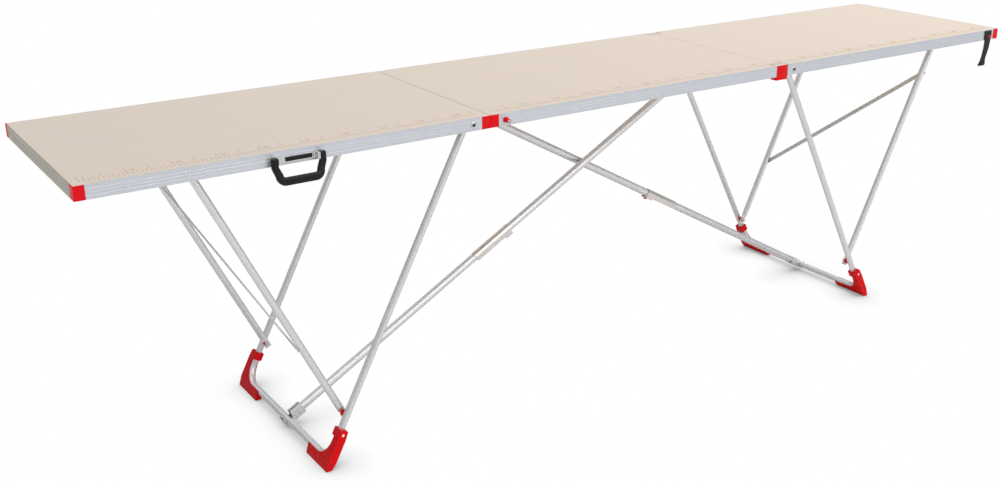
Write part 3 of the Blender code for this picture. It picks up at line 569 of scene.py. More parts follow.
def perpendicular(direction: np.ndarray) -> np.ndarray:
    """A unit vector at right angles to a direction, level where it can be."""
    guide = np.array([0.0, 0.0, 1.0]) if abs(direction[2]) < 0.9 else np.array([0.0, 1.0, 0.0])
    across = np.cross(direction, guide)
    return across / np.linalg.norm(across)


def turned(profile: Sequence[tuple[float, float]], base: np.ndarray, axis: np.ndarray, sides: int = 32) -> Surface:
    """Spin a profile about an axis: each ring stands at base + axis * height with its own radius.

    Args:
        profile: pairs of radius and height.
        base: the point where height is zero.
        axis: unit direction of the axis.
        sides: points round each ring.

    Returns:
        The closed surface.
    """
    shape = np.array(profile)
    across = perpendicular(axis)
    third = np.cross(axis, across)
    circle = round_section(shape[:, 0], sides)
    rings = base + axis * shape[:, 1][:, None, None] + across * circle[..., :1] + third * circle[..., 1:]
    heights = np.broadcast_to(shape[:, 1][:, None, None], circle[..., :1].shape)
    return wrap_rings(rings, np.concatenate([circle, heights], axis=-1))


def arc_points(centre: tuple[float, float], radius: float, start: float, end: float, steps: int) -> np.ndarray:
    """Points of an arc: centre + radius * (cos t, sin t), t from start to end."""
    turn = np.linspace(start, end, steps + 1)
    return np.array(centre) + radius * np.stack([np.cos(turn), np.sin(turn)], axis=-1)


def rectangle(low_a: float, high_a: float, low_b: float, high_b: float) -> np.ndarray:
    """Corners of a rectangle, anticlockwise."""
    return np.array([[low_a, low_b], [high_a, low_b], [high_a, high_b], [low_a, high_b]])


def slab(outline: np.ndarray, origin: np.ndarray, right: np.ndarray, up: np.ndarray, low: float,
         high: float) -> Surface:
    """A flat shape between two levels: origin + right * a + up * b + (right x up) * level.

    Args:
        outline: pairs of a and b, anticlockwise.
        origin: the point where a, b and the level are zero.
        right: unit direction of a.
        up: unit direction of b.
        low: the lower level.
        high: the upper level.

    Returns:
        The closed surface, with one face for each end.
    """
    out = np.cross(right, up)
    flat = origin + outline[:, :1] * right + outline[:, 1:] * up
    count = len(outline)
    ring = np.arange(count)
    beside = np.roll(ring, -1)
    walls = np.stack([ring, beside, beside + count, ring + count], axis=-1).tolist()
    points = np.vstack([flat + out * low, flat + out * high])
    faces = [tuple(f) for f in walls] + [tuple(ring[::-1].tolist()), tuple((ring + count).tolist())]
    return facing_out(Surface(points, faces, points))


def put_in_scene(name: str, mesh: bpy.types.Mesh, smooth_angle: float) -> bpy.types.Object:
    """Shade a mesh smooth up to an angle in degrees and make an object of it."""
    mesh.shade_smooth()
    mesh.set_sharp_from_angle(angle=math.radians(smooth_angle))
    piece = bpy.data.objects.new(name, mesh)
    bpy.context.scene.collection.objects.link(piece)
    return piece


def make_piece(name: str, surface: Surface, smooth_angle: float = 40.0) -> bpy.types.Object:
    """Put a surface into a mesh object at the origin, with faces outwards.

    Args:
        name: the piece's name.
        surface: its points and faces.
        smooth_angle: edges that turn by more degrees than this stay sharp.

    Returns:
        The new object.
    """
    mesh = bpy.data.meshes.new(name)
    mesh.from_pydata(surface.points.tolist(), [], surface.faces)
    track = mesh.attributes.new("track", "FLOAT_VECTOR", "POINT")
    track.data.foreach_set("vector", surface.track.astype(np.float32).ravel())
    mesh.update()
    return put_in_scene(name, mesh, smooth_angle)


def round_edges(piece: bpy.types.Object, width: float, segments: int = 3) -> None:
    """Round the sharp edges of a piece by a bevel of the given width."""
    edge = piece.modifiers.new("rounded edges", "BEVEL")
    edge.width = width
    edge.segments = segments
    edge.limit_method = "ANGLE"
    edge.harden_normals = True


@dataclass(frozen=True)
class TurnedPart:
    """A rivet, screw, nut or washer: a profile spun about an axis, with its finish and its slot.

    The profile is pairs of radius and height, and heights below zero are sunk into what carries the part.
    """

    profile: tuple[tuple[float, float], ...]
    finish: str
    slot: str = "zinc_steel"
    sides: int = 32

    def shape(self, base: np.ndarray, axis: np.ndarray) -> Surface:
        """The part's surface, with height zero at the base."""
        return turned(self.profile, base, axis, self.sides)

    def build(self, paint: Paint, name: str, base: np.ndarray, axis: np.ndarray, body: str) -> None:
        """Make the part as a piece of its own.

        Args:
            paint: the table's finishes.
            name: the piece's name.
            base: the point where the profile's height is zero.
            axis: unit direction that the part points in.
            body: the body it rides on.
        """
        paint.settle(make_piece(name, self.shape(base, axis)), self.finish, body, self.slot)


FOOT_RIVET = TurnedPart(((0.0036, -0.002), (0.0036, 0.0006), (0.0028, 0.0014), (0.0012, 0.0018)),
                        "pale_plug", "foot_plastic")
STUD_NUT = TurnedPart(((0.0062, -0.001), (0.0066, 0.0), (0.0066, 0.0035), (0.0056, 0.0045), (0.0034, 0.0048),
                       (0.003, 0.0062)), "bright_fastener", sides=6)
LOCK_BUTTON = TurnedPart(((0.0042, -0.001), (0.0042, 0.0028), (0.0034, 0.004), (0.0012, 0.0044)),
                         "red_moulding", "red_plastic")
BRACE_RIVET = TurnedPart(((0.0038, -0.0004), (0.0038, 0.0006), (0.003, 0.0012), (0.0012, 0.0015)),
                         "bright_fastener", sides=24)
PLATE_SCREW = TurnedPart(((0.004, -0.0002), (0.004, 0.0008), (0.0034, 0.0018), (0.0016, 0.0024)), "bright_fastener")
STRAP_RIVET = TurnedPart(((0.0052, -0.001), (0.0052, 0.0006), (0.004, 0.0014), (0.0014, 0.0018)),
                         "red_moulding", "red_plastic")
PIVOT_WASHER = TurnedPart(((0.0078, -0.0005), (0.0078, 0.0006), (0.0072, 0.001)), "bright_fastener")
PIVOT_BOLT = TurnedPart(((0.0046, 0.0), (0.0046, 0.0014), (0.0036, 0.0024), (0.0012, 0.0028)), "dark_fastener")
STUD_RING = TurnedPart(((0.0036, -0.0022), (0.0038, 0.0), (0.0034, 0.0006), (0.0014, 0.0008)), "bright_fastener")
STUD_COLLAR = TurnedPart(((0.0072, 0.0), (0.0072, 0.0012), (0.006, 0.002)), "red_moulding", "red_plastic")


def joint_place(frame: dict, name: str) -> np.ndarray:
    """Place of a joint at rest."""
    return np.array(next(joint["pos_m"] for joint in frame["joints"] if joint["name"] == name))


@dataclass
class FramePaint:
    """Finishes of the frame's own parts."""

    paint: Paint

    def finish_name(self, node: str) -> str:
        """Name of the finish that a part of the frame has.

        Args:
            node: the part's name.

        Returns:
            The finish's name.
        """
        endings = {
            "_board": "birch_faced_board",
            "_end_rail": "end_rail_painted_shade",
            # End rails take the darker copy of the rail metal, which is painted shade.
            "_rail": "anodised_rail",
            "_strut_carrier": "anodised_rail",
            "_cap": "red_moulding",
            "_link_block": "red_moulding",
            "_strut_pin": "red_moulding",
            "_foot": "red_foot",
            "closure_stud": "red_moulding",
            "_strut": "satin_bar",
            "_lower_tube": "satin_bar",
            "_upper_tube": "satin_bar",
            "_diagonal_bar": "flat_bar",
            "handle_plate": "bright_fastener",
            "handle_grip": "black_moulding",
            "closure_strap": "black_rubber",
        }
        found = [finish for ending, finish in endings.items() if node.endswith(ending)]
        return found[0] if found else "zinc_steel"

    def build(self, frame: dict) -> None:
        """Dress every part of the frame."""
        for name, node in frame["nodes"].items():
            self.paint.dress(node, self.finish_name(name))


@dataclass
class PrintedScale:
    """Centimetre scale printed along the front edge of the tops."""

    paint: Paint
    stroke: float = 0.0013
    film: float = 0.00008
    edge_in: float = 0.02
    step: float = 0.01
    short: float = 0.017
    middle: float = 0.042
    long: float = 0.045
    text_height: float = 0.014
    text_side: float = 0.013
    text_foot: float = 0.024
    start_in: float = 0.02

    def bars(self, lows: np.ndarray, highs: np.ndarray, level: float) -> Surface:
        """Thin flat bars on the board.

        Args:
            lows: lowest corner of each bar, by bar and axis x, y.
            highs: highest corner of each bar.
            level: height of the board's face.

        Returns:
            All bars as one surface.
        """
        corners = np.array([[0, 0], [1, 0], [1, 1], [0, 1]])
        flat = lows[:, None] * (1 - corners) + highs[:, None] * corners
        levels = np.array([level, level + self.film])
        points = np.concatenate([np.broadcast_to(flat[:, None], (len(lows), 2, 4, 2)),
                                 np.broadcast_to(levels[None, :, None, None], (len(lows), 2, 4, 1))], axis=-1)
        box = np.array([[0, 1, 5, 4], [1, 2, 6, 5], [2, 3, 7, 6], [3, 0, 4, 7], [3, 2, 1, 0], [4, 5, 6, 7]])
        faces = (np.arange(len(lows))[:, None, None] * 8 + box).reshape(-1, 4)
        places = points.reshape(-1, 3)
        return Surface(places, [tuple(f) for f in faces.tolist()], places)

    def number(self, value: int, x: float, y: float, level: float) -> Surface:
        """One printed number, centred at x with its foot at y.

        Args:
            value: the number of centimetres.
            x: place along the table.
            y: place across it.
            level: height of the board's face.

        Returns:
            The number as a thin closed surface.
        """
        curve = bpy.data.curves.new("number", "FONT")
        curve.body = str(value)
        curve.size = self.text_height
        curve.align_x = "CENTER"
        curve.resolution_u = 3
        curve.extrude = self.film / 2
        holder = bpy.data.objects.new("number", curve)
        bpy.context.scene.collection.objects.link(holder)
        bpy.context.view_layer.update()
        mesh = holder.evaluated_get(bpy.context.evaluated_depsgraph_get()).to_mesh()
        points = np.array([v.co for v in mesh.vertices]).reshape(-1, 3)
        faces = [tuple(p.vertices) for p in mesh.polygons]
        bpy.data.objects.remove(holder, do_unlink=True)
        places = points + np.array([x, y, level + self.film / 2])
        return Surface(places, faces, places)

    def build_panel(self, word: str, body: str, zero: float, front: float, top: float) -> None:
        """Print the scale on one top.

        Args:
            word: the panel's name in its parts.
            body: the body it rides on.
            zero: where the scale starts along the table.
            front: the board's front edge.
            top: the board's face.
        """
        low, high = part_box(word + "_board")
        first = math.ceil((max(low.x + self.start_in, zero) - zero) / self.step)
        last = math.floor((high.x - self.start_in - zero) / self.step)
        marks = np.arange(first, last + 1)
        x = zero + marks * self.step
        reach = np.where(marks % 10 == 0, self.long, np.where(marks % 5 == 0, self.middle, self.short))
        lows = np.stack([x - self.stroke / 2, np.full(len(x), front)], axis=-1)
        highs = np.stack([x + self.stroke / 2, front + reach], axis=-1)
        print_out = self.bars(lows, highs, top)
        for mark in marks[marks % 10 == 0]:
            centre = zero + mark * self.step + self.text_side
            print_out = print_out.joined(self.number(int(mark), centre, front + self.text_foot, top))
        piece = make_piece(word + "_printed_scale", print_out)
        self.paint.settle(piece, "printed_scale_ink", body, "board_faced")

    def build(self) -> None:
        """Print the scale on the three tops."""
        low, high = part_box("left_board")
        front = low.y + self.edge_in
        zero = low.x + self.start_in
        for word, body in (("left", "left_panel"), ("mid", "middle_panel"), ("right", "right_panel")):
            self.build_panel(word, body, zero, front, high.z)


@dataclass
class LegFrame:
    """One U-shaped leg tube with its pivot pins, the rivets of its feet and the nuts of its studs."""

    paint: Paint
    word: str
    side: int
    pivot: np.ndarray
    tube_radius: float = 0.009
    tube_y: float = 0.266
    top_over: float = 0.006
    bend: float = 0.05
    pin_radius: float = 0.004
    foot_height: float = 0.1091
    foot_outer: float = 0.2885
    collar: float = 0.022
    collar_wall: float = 0.0035
    stud_rise: float = 0.1445
    nut_in: float = 0.001
    straight_rings: int = 40
    bar_rings: int = 24
    bend_steps: int = 14
    pin_sides: int = 20

    def __post_init__(self) -> None:
        """Work out the leg's directions from its pivot, and the place of its crossbar."""
        self.length = math.hypot(self.pivot[2], LEG_REACH)
        self.crossbar_u = self.length - CROSSBAR_RISE
        self.down = np.array([self.side * LEG_REACH, 0, -self.pivot[2]]) / self.length
        self.out = np.array([self.side * self.pivot[2], 0, LEG_REACH]) / self.length

    def point(self, u: float, y: float = 0.0) -> np.ndarray:
        """A point u down the leg from its pivot and y across."""
        return self.pivot + self.down * u + ACROSS * y

    def tube(self) -> None:
        """The bent tube: down one side, round the two bends and up the other."""
        centre = self.crossbar_u - self.bend
        corner = arc_points((centre, self.tube_y - self.bend), self.bend, math.pi / 2, 0, self.bend_steps)
        straight = np.linspace(-self.top_over, centre, self.straight_rings, endpoint=False)
        legs = np.stack([straight, np.full(self.straight_rings, self.tube_y)], axis=-1)
        half = np.vstack([legs, corner])
        level = np.linspace(self.tube_y - self.bend, -(self.tube_y - self.bend), self.bar_rings)[1:-1]
        bar = np.stack([np.full(len(level), self.crossbar_u), level], axis=-1)
        back = half[::-1] * np.array([1, -1])
        flat = np.vstack([half, bar, back])
        path = self.pivot + flat[:, :1] * self.down + flat[:, 1:] * ACROSS
        sections = np.broadcast_to(round_section(self.tube_radius, TUBE_SIDES), (len(path), TUBE_SIDES, 2))
        shape = sweep(path, self.out, sections)
        for end in ENDS.values():
            pin = [(self.pin_radius, 0.0), (self.pin_radius, PANEL_INSIDE - self.tube_y)]
            shape = shape.joined(turned(pin, self.point(0, end * self.tube_y), ACROSS * end, self.pin_sides))
        piece = make_piece(self.word + "_bent_leg", shape)
        self.paint.settle(piece, "satin_tube", self.word + "_leg", "tube_metal", self.word + "_leg_tube")

    def fasteners(self, end_word: str, end: int) -> None:
        """The rivet that holds a foot's collar, and the nut on the strut's stud."""
        u = self.length - self.foot_height + self.collar / 2
        face = self.point(u, end * (self.foot_outer - self.collar_wall / 2))
        leg = self.word + "_leg"
        FOOT_RIVET.build(self.paint, f"{self.word}_{end_word}_foot_rivet", face, ACROSS * end, leg)
        low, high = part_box(f"{self.word}_{end_word}_strut_pin")
        tip = high.y if end < 0 else low.y
        stud = self.point(self.length - self.stud_rise)
        stud[1] = tip + end * self.nut_in
        STUD_NUT.build(self.paint, f"{self.word}_{end_word}_stud_nut", stud, ACROSS * -end, leg)

    def build(self) -> None:
        """Build the tube and the fasteners on both its sides."""
        self.tube()
        for end_word, end in ENDS.items():
            self.fasteners(end_word, end)


@dataclass
class RoundedParts:
    """Moulded and pressed parts of the frame with their edges rounded as the tools leave them."""

    paint: Paint
    merge: float = 0.00002
    flat_angle: float = 0.5
    # A little more than the thickness of the plates in BoardEdges, so that no two faces coincide.
    lap: float = 0.00105
    sharp_angle: float = 35.0
    foot_width: float = 0.002
    cap_width: float = 0.0006
    rail_width: float = 0.0002
    plate_width: float = 0.0008

    def part(self, frame: dict, node: str, finish: str, slot: str, width: float, lap: float = 0.0) -> None:
        """Copy one part of the frame, join its loose faces and round its edges.

        Args:
            frame: the loaded frame.
            node: the part's name.
            finish: the finish's name.
            slot: the record's material slot.
            width: width of the rounding.
            lap: how far the top face is lowered for the board that covers it.
        """
        source = frame["nodes"][node]
        mesh = bpy.data.meshes.new(node + "_rounded")
        shape = bmesh.new()
        shape.from_mesh(source.data)
        shape.transform(source.matrix_world)
        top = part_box(node)[1].z - self.lap / 2
        for point in shape.verts:
            point.co.z -= lap if point.co.z > top else 0.0
        bmesh.ops.remove_doubles(shape, verts=shape.verts, dist=self.merge)
        bmesh.ops.dissolve_limit(shape, angle_limit=math.radians(self.flat_angle), verts=shape.verts, edges=shape.edges)
        shape.to_mesh(mesh)
        shape.free()
        piece = put_in_scene(node + "_rounded", mesh, self.sharp_angle)
        round_edges(piece, width)
        self.paint.settle(piece, finish, source["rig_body"], slot, node)

    def build(self, frame: dict) -> None:
        """Round the feet, caps, link blocks and the handle's plate, and lower what the boards cover."""
        for node in sorted(frame["nodes"]):
            if node.endswith("_foot"):
                self.part(frame, node, "red_foot", "foot_plastic", self.foot_width)
            elif node.endswith(("_cap", "_link_block")):
                lap = self.lap if abs(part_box(node)[0].x) < SEAM_BAND else 0.0
                self.part(frame, node, "red_moulding", "red_plastic", self.cap_width, lap)
            elif node in SEAM_RAILS:
                # The seam rails take the darker copy of the rail metal: painted shade.
                self.part(frame, node, "end_rail_painted_shade", "aluminium_rail", self.rail_width, self.lap)
            elif node == "handle_plate":
                self.part(frame, node, "bright_fastener", "black_plastic", self.plate_width)


@dataclass
class BoardEdges:
    """Board faces carried over the link blocks and over the rails and mouldings at the seams."""

    paint: Paint
    lap: float = 0.001
    left_seam: float = 0.0009
    right_seam: float = 0.0004

    def plates(self, spans: list[tuple[float, float, float, float]], top: float) -> Surface:
        """Thin plates that are flush with the board.

        Args:
            spans: low x, high x, low y and high y of each plate.
            top: height of the board's face.

        Returns:
            All plates as one surface.
        """
        return reduce(Surface.joined, [slab(rectangle(*span), np.zeros(3), ALONG, ACROSS, top - self.lap, top)
                                       for span in spans])

    def build(self) -> None:
        """Carry the boards to both seams."""
        for node in SEAM_RAILS:
            word, end_word = node.split("_")[:2]
            end = SIDES[end_word]
            low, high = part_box(word + "_board")
            rail_low, rail_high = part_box(node)
            edge, outer = (low.x, rail_low.x) if end < 0 else (high.x, rail_high.x)
            at_link = outer > 0
            stop = outer - end * (self.right_seam if at_link else self.left_seam) / 2
            spans = [(*sorted((edge, stop)), low.y, high.y)]
            if at_link:
                front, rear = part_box("front_link_block")[1].y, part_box("rear_link_block")[0].y
                inner = edge - end * LINK_NOTCH
                spans = [(*sorted((edge, stop)), front, rear), (*sorted((inner, stop)), low.y, front),
                         (*sorted((inner, stop)), rear, high.y)]
            piece = make_piece(f"{word}_{end_word}_board_edge", self.plates(spans, high.z))
            body = "middle_panel" if word == "mid" else word + "_panel"
            self.paint.settle(piece, "birch_faced_board", body, "board_faced")


@dataclass
class StrutSkins:
    """Smooth round skins on the struts, drawn down to their flattened ends."""

    paint: Paint
    word: str
    low: np.ndarray
    top: np.ndarray
    radius: float = 0.0092
    flat_half: float = 0.0024
    wide_half: float = 0.0096
    swage: float = 0.03
    tip_gap: float = 0.018
    shift_y: float = 0.2445
    flat_power: float = 5.0
    round_power: float = 2.0
    swage_rings: int = 12
    middle_rings: int = 30

    def build(self) -> None:
        """Build both struts: round between the ends, squeezed flat over the swage."""
        run = self.top - self.low
        length = float(np.linalg.norm(run))
        along = run / length
        ends = np.linspace(0, 1, self.swage_rings)
        near = self.tip_gap + ends * self.swage
        far = length - self.tip_gap - (1 - ends) * self.swage
        stations = np.concatenate([near, np.linspace(near[-1], far[0], self.middle_rings)[1:-1], far])
        edge = np.minimum(stations - near[0], far[-1] - stations) / self.swage
        grown = np.clip(edge, 0, 1)
        grown = grown * grown * (3 - 2 * grown)
        half_flat = self.flat_half + (self.radius - self.flat_half) * grown
        half_wide = self.wide_half + (self.radius - self.wide_half) * grown
        power = self.flat_power + (self.round_power - self.flat_power) * grown
        sections = rounded_section(half_wide, half_flat, power, TUBE_SIDES)
        for end_word, end in ENDS.items():
            start = self.low + ACROSS * end * self.shift_y
            path = start + along * stations[:, None]
            piece = make_piece(f"{self.word}_{end_word}_strut_skin", sweep(path, ACROSS, sections))
            self.paint.settle(piece, "satin_tube", self.word + "_strut_frame", "tube_metal")


@dataclass
class BraceSkins:
    """Smooth skins on a brace's two tubes, its pressed sleeve and small parts, and the saddle at the crossing."""

    paint: Paint
    word: str
    side: int
    low: np.ndarray
    top: np.ndarray
    radius: float = 0.01115
    clip_end: float = 0.05
    knuckle: float = 0.796
    lug_length: float = 0.0053
    neck: float = 0.02
    sleeve_start: float = 0.68
    sleeve_end: float = 0.812
    sleeve_half: float = 0.0128
    sleeve_wall: float = 0.0011
    sleeve_skirt: float = 0.0105
    sleeve_chin: float = 0.0165
    chin_length: float = 0.026
    knuckle_drop: float = 0.0127
    arch_points: int = 25
    saddle_half: float = 0.0128
    saddle_rise: float = 0.0117
    saddle_power: float = 4.0
    saddle_stations: tuple[float, ...] = (-0.026, -0.0255, -0.024, -0.002, -0.0005, 0.0)
    saddle_insets: tuple[float, ...] = (0.0016, 0.0004, 0.0, 0.0, 0.0004, 0.0016)
    clip_cover: float = 0.001
    lip: tuple[float, ...] = (0.0, 0.0004, 0.0012)
    lip_insets: tuple[float, ...] = (0.0009, 0.0003, 0.0)
    lip_end: float = 0.002
    skin_rings: int = 30
    button_in: float = 0.006
    sleeve_rivet: tuple[float, float] = (0.018, -0.003)
    clip_rivet: tuple[float, float] = (0.036, 0.0)
    liner_half: tuple[float, float] = (0.008, 0.006)
    liner_place: tuple[float, float] = (0.019, -0.0075)
    liner_thick_half: float = 0.0012
    liner_round: float = 0.0005

    def point(self, a: float, n: float = 0.0, y: float = 0.0) -> np.ndarray:
        """A point a up the brace from the crossbar, n above its axis and y off its plane."""
        return self.low + self.along * a + self.above * n + ACROSS * y

    def __post_init__(self) -> None:
        """Work out the brace's directions."""
        run = self.top - self.low
        self.length = float(np.linalg.norm(run))
        self.along = run / self.length
        self.above = np.array([-self.along[2] * np.sign(self.along[0]), 0, abs(self.along[0])])

    def skin(self, name: str, start: float, stop: float, body: str) -> None:
        """One smooth tube from start to stop with softly rounded ends."""
        lip = np.array(self.lip)
        middle = np.linspace(start + self.lip_end, stop - self.lip_end, self.skin_rings)
        stations = np.concatenate([start + lip, middle, stop - lip[::-1]])
        radius = self.radius - np.interp(np.minimum(stations - start, stop - stations), lip, self.lip_insets)
        path = self.point(0) + self.along * stations[:, None]
        piece = make_piece(name, sweep(path, ACROSS, round_section(radius, TUBE_SIDES)))
        self.paint.settle(piece, "satin_tube", body, "tube_metal")

    def channel(self, skirt: float, start: float, stop: float) -> Surface:
        """A stretch of the sleeve: a half-round web over the tube with two flat walls below it.

        Args:
            skirt: how far the walls reach below the tube's middle.
            start: where it starts along the brace.
            stop: where it ends.

        Returns:
            The stretch as a closed surface.
        """
        round_top = arc_points((0, 0), 1.0, 0, math.pi, self.arch_points - 1)
        outer = np.vstack([[self.sleeve_half, -skirt], round_top * self.sleeve_half, [-self.sleeve_half, -skirt]])
        bore = self.sleeve_half - self.sleeve_wall
        inner = np.vstack([[bore, -skirt], round_top * bore, [-bore, -skirt]])
        # A slab rises along ACROSS x above, which runs down the brace on one side of the table.
        way = float(np.sign(np.dot(np.cross(ACROSS, self.above), self.along)))
        low, high = sorted((way * start, way * stop))
        return slab(np.vstack([outer, inner[::-1]]), self.point(0), ACROSS, self.above, low, high)

    def sleeve(self) -> None:
        """Pressed channel over the knuckle, with an ear on each wall round the knuckle's pin."""
        chin = self.sleeve_end - self.chin_length
        shape = self.channel(self.sleeve_skirt, self.sleeve_start, chin)
        shape = shape.joined(self.channel(self.sleeve_chin, chin, self.sleeve_end))
        piece = make_piece(f"{self.word}_pressed_sleeve", shape)
        self.paint.settle(piece, "zinc_steel", f"{self.word}_brace_lower", "zinc_steel", f"{self.word}_brace_sleeve")

    def rivets(self, lower: str) -> None:
        """Rivet heads on the sleeve's outer wall and on the clip."""
        # Only the outer wall has raised heads: the other brace passes close to the inner one.
        way = math.copysign(1.0, self.low[1])
        spots = [(self.sleeve_start + self.sleeve_rivet[0], self.sleeve_rivet[1]),
                 (self.knuckle, -self.knuckle_drop), self.clip_rivet]
        heads = [BRACE_RIVET.shape(self.point(a, n, way * self.sleeve_half), ACROSS * way) for a, n in spots]
        piece = make_piece(f"{self.word}_brace_rivets", reduce(Surface.joined, heads))
        self.paint.settle(piece, BRACE_RIVET.finish, lower, BRACE_RIVET.slot)

    def liner(self, lower: str) -> None:
        """Red pad in the mouth of the clip."""
        half_a, half_b = self.liner_half
        pad = slab(rectangle(-half_a, half_a, -half_b, half_b), self.point(*self.liner_place), self.along, ACROSS,
                   -self.liner_thick_half, self.liner_thick_half)
        piece = make_piece(f"{self.word}_clip_liner", pad)
        round_edges(piece, self.liner_round)
        self.paint.settle(piece, "red_moulding", lower, "red_plastic")

    def saddle(self) -> None:
        """Plated saddle on the rear brace where the two cross."""
        a = abs(self.low[0]) / abs(self.along[0])
        stations = a + np.array(self.saddle_stations)
        half = self.saddle_half - np.array(self.saddle_insets)
        path = self.point(0) + self.along * stations[:, None]
        rise = np.minimum(half, self.saddle_rise)
        sections = rounded_section(rise, half, np.full(len(half), self.saddle_power), TUBE_SIDES)
        piece = make_piece("crossing_saddle", sweep(path, ACROSS, sections))
        self.paint.settle(piece, "zinc_steel", self.word + "_brace_upper", "zinc_steel")

    def build(self) -> None:
        """Build the skins and small parts of the brace."""
        lower = f"{self.word}_brace_lower"
        upper = f"{self.word}_brace_upper"
        self.skin(f"{self.word}_lower_skin", self.clip_end - self.clip_cover, self.knuckle - self.lug_length, lower)
        self.skin(f"{self.word}_upper_skin", self.knuckle + self.lug_length, self.length - self.neck, upper)
        self.sleeve()
        place = self.point(self.sleeve_end - self.button_in, -self.sleeve_chin)
        LOCK_BUTTON.build(self.paint, f"{self.word}_lock_button", place, -self.above, lower)
        self.rivets(lower)
        self.liner(lower)
        if self.side > 0:
            self.saddle()


@dataclass
class CarryHandle:
    """Moulded bail handle, with the dark bar and the screws of its bright plate."""

    paint: Paint
    pivot: np.ndarray
    top_half: float = 0.0575
    low_half: float = 0.05
    fall: float = 0.0455
    lean: float = 0.008
    corner: float = 0.014
    arm_half: float = 0.0082
    bar_half: float = 0.0096
    depth_half: float = 0.0062
    straight: float = 0.013
    bar_length: float = 0.064
    bar_along: float = 0.004
    bar_height: float = 0.0095
    bar_thick: float = 0.003
    screw_out: float = 0.0425
    plate_stands: float = 0.0033
    bar_sink: float = 0.0002
    tip_share: float = 0.75
    grip_power: float = 2.8
    stub_rings: int = 8
    arm_rings: int = 14
    bend_steps: int = 12
    bar_rings: int = 8

    def grip(self) -> None:
        """The bail: an arm, a rounded corner and half the bar, mirrored, thicker along the bar."""
        stub = np.linspace(self.arm_half, -self.straight, self.stub_rings, endpoint=False)
        stub = np.stack([np.full(len(stub), self.top_half), stub], axis=-1)
        arm = np.linspace(0, 1, self.arm_rings, endpoint=False)[:, None]
        start = np.array([self.top_half, -self.straight])
        foot = np.array([self.low_half, -self.fall + self.corner])
        bend = arc_points((self.low_half - self.corner, -self.fall + self.corner), self.corner, 0, -math.pi / 2,
                          self.bend_steps)
        bar = np.linspace(self.low_half - self.corner, 0, self.bar_rings)[1:]
        level = np.stack([bar, np.full(len(bar), -self.fall)], axis=-1)
        half = np.vstack([stub, start + (foot - start) * arm, bend, level])
        flat = np.vstack([half, half[-2::-1] * np.array([-1, 1])])
        low_share = np.clip(-flat[:, 1] / self.fall, 0, 1) ** 2
        path = self.pivot + np.stack([flat[:, 0], -self.lean * low_share, flat[:, 1]], axis=-1)
        half_width = self.arm_half + (self.bar_half - self.arm_half) * low_share
        tips = np.ones(len(flat))
        tips[[0, -1]] = self.tip_share
        sections = rounded_section(half_width * tips, np.full(len(flat), self.depth_half) * tips,
                                   np.full(len(flat), self.grip_power), TUBE_SIDES)
        piece = make_piece("moulded_grip", sweep(path, ACROSS, sections))
        self.paint.settle(piece, "black_moulding", "handle", "black_plastic", "handle_grip")

    def plate_fittings(self) -> None:
        """Dark bar along the bright plate's middle, and a screw at each of its ends."""
        low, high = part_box("handle_plate")
        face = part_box("left_front_rail")[0].y - self.plate_stands
        middle = (low.z + high.z) / 2
        centre = self.pivot[0]
        wide, tall = self.bar_length / 2, self.bar_height / 2
        shape = slab(rectangle(-wide, wide, -tall, tall), np.array([centre + self.bar_along, face, middle]), ALONG,
                     UP, -self.bar_sink, self.bar_thick)
        bar = make_piece("handle_middle_bar", shape)
        round_edges(bar, self.bar_thick / 3)
        self.paint.settle(bar, "black_moulding", "left_panel", "black_plastic")
        for word, way in SIDES.items():
            place = np.array([centre + way * self.screw_out, face, middle])
            PLATE_SCREW.build(self.paint, f"handle_{word}_screw", place, FRONT, "left_panel")

    def build(self) -> None:
        """Build the grip and the plate's fittings."""
        self.grip()
        self.plate_fittings()


@dataclass
class ClosureStrap:
    """Rubber strap that hangs from its rivet with a slight lean and a thicker hooked end."""

    paint: Paint
    head_half: float = 0.017
    thick_half: float = 0.0015
    hook_half: float = 0.0035
    hook_start: float = 0.8
    hook_length: float = 0.15
    gap: float = 0.0003
    lean_at: tuple[float, ...] = (0, 0.3, 0.5, 0.7, 0.85, 1)
    lean_by: tuple[float, ...] = (0, 0, 0.002, 0.008, 0.014, 0.021)
    width_at: tuple[float, ...] = (0, 0.02, 0.2, 0.3, 0.5, 0.8, 0.9, 0.97, 1)
    width_share: tuple[float, ...] = (0.9, 1, 1, 0.88, 0.82, 0.7, 0.78, 0.95, 0.8)
    power: float = 5.0
    rings: int = 60
    sides: int = 48
    smooth_angle: float = 60.0
    rivet_right: float = 0.008
    rivet_down: float = 0.0205

    def build(self) -> None:
        """Build the ribbon, station by station down its fall, then its rivet."""
        low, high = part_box("closure_strap")
        centre = (low.x + high.x) / 2
        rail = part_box("right_front_rail")[0].y
        fall = np.linspace(0, 1, self.rings)
        z = high.z + (low.z - high.z) * fall
        x = centre - np.interp(fall, self.lean_at, self.lean_by)
        narrow = np.interp(fall, self.width_at, self.width_share)
        hooked = np.clip((fall - self.hook_start) / self.hook_length, 0, 1)
        thick = self.thick_half + (self.hook_half - self.thick_half) * hooked
        path = np.stack([x, rail - self.gap - thick, z], axis=-1)
        sections = rounded_section(self.head_half * narrow, thick, np.full(self.rings, self.power), self.sides)
        rings = path[:, None] + ALONG * sections[..., :1] + FRONT * sections[..., 1:]
        piece = make_piece("hooked_strap", wrap_rings(rings[::-1], rings[::-1]), self.smooth_angle)
        self.paint.settle(piece, "black_rubber", "strap", "black_rubber", "closure_strap")
        place = np.array([centre + self.rivet_right, rail - 2 * self.thick_half, high.z - self.rivet_down])
        STRAP_RIVET.build(self.paint, "strap_rivet", place, FRONT, "strap")


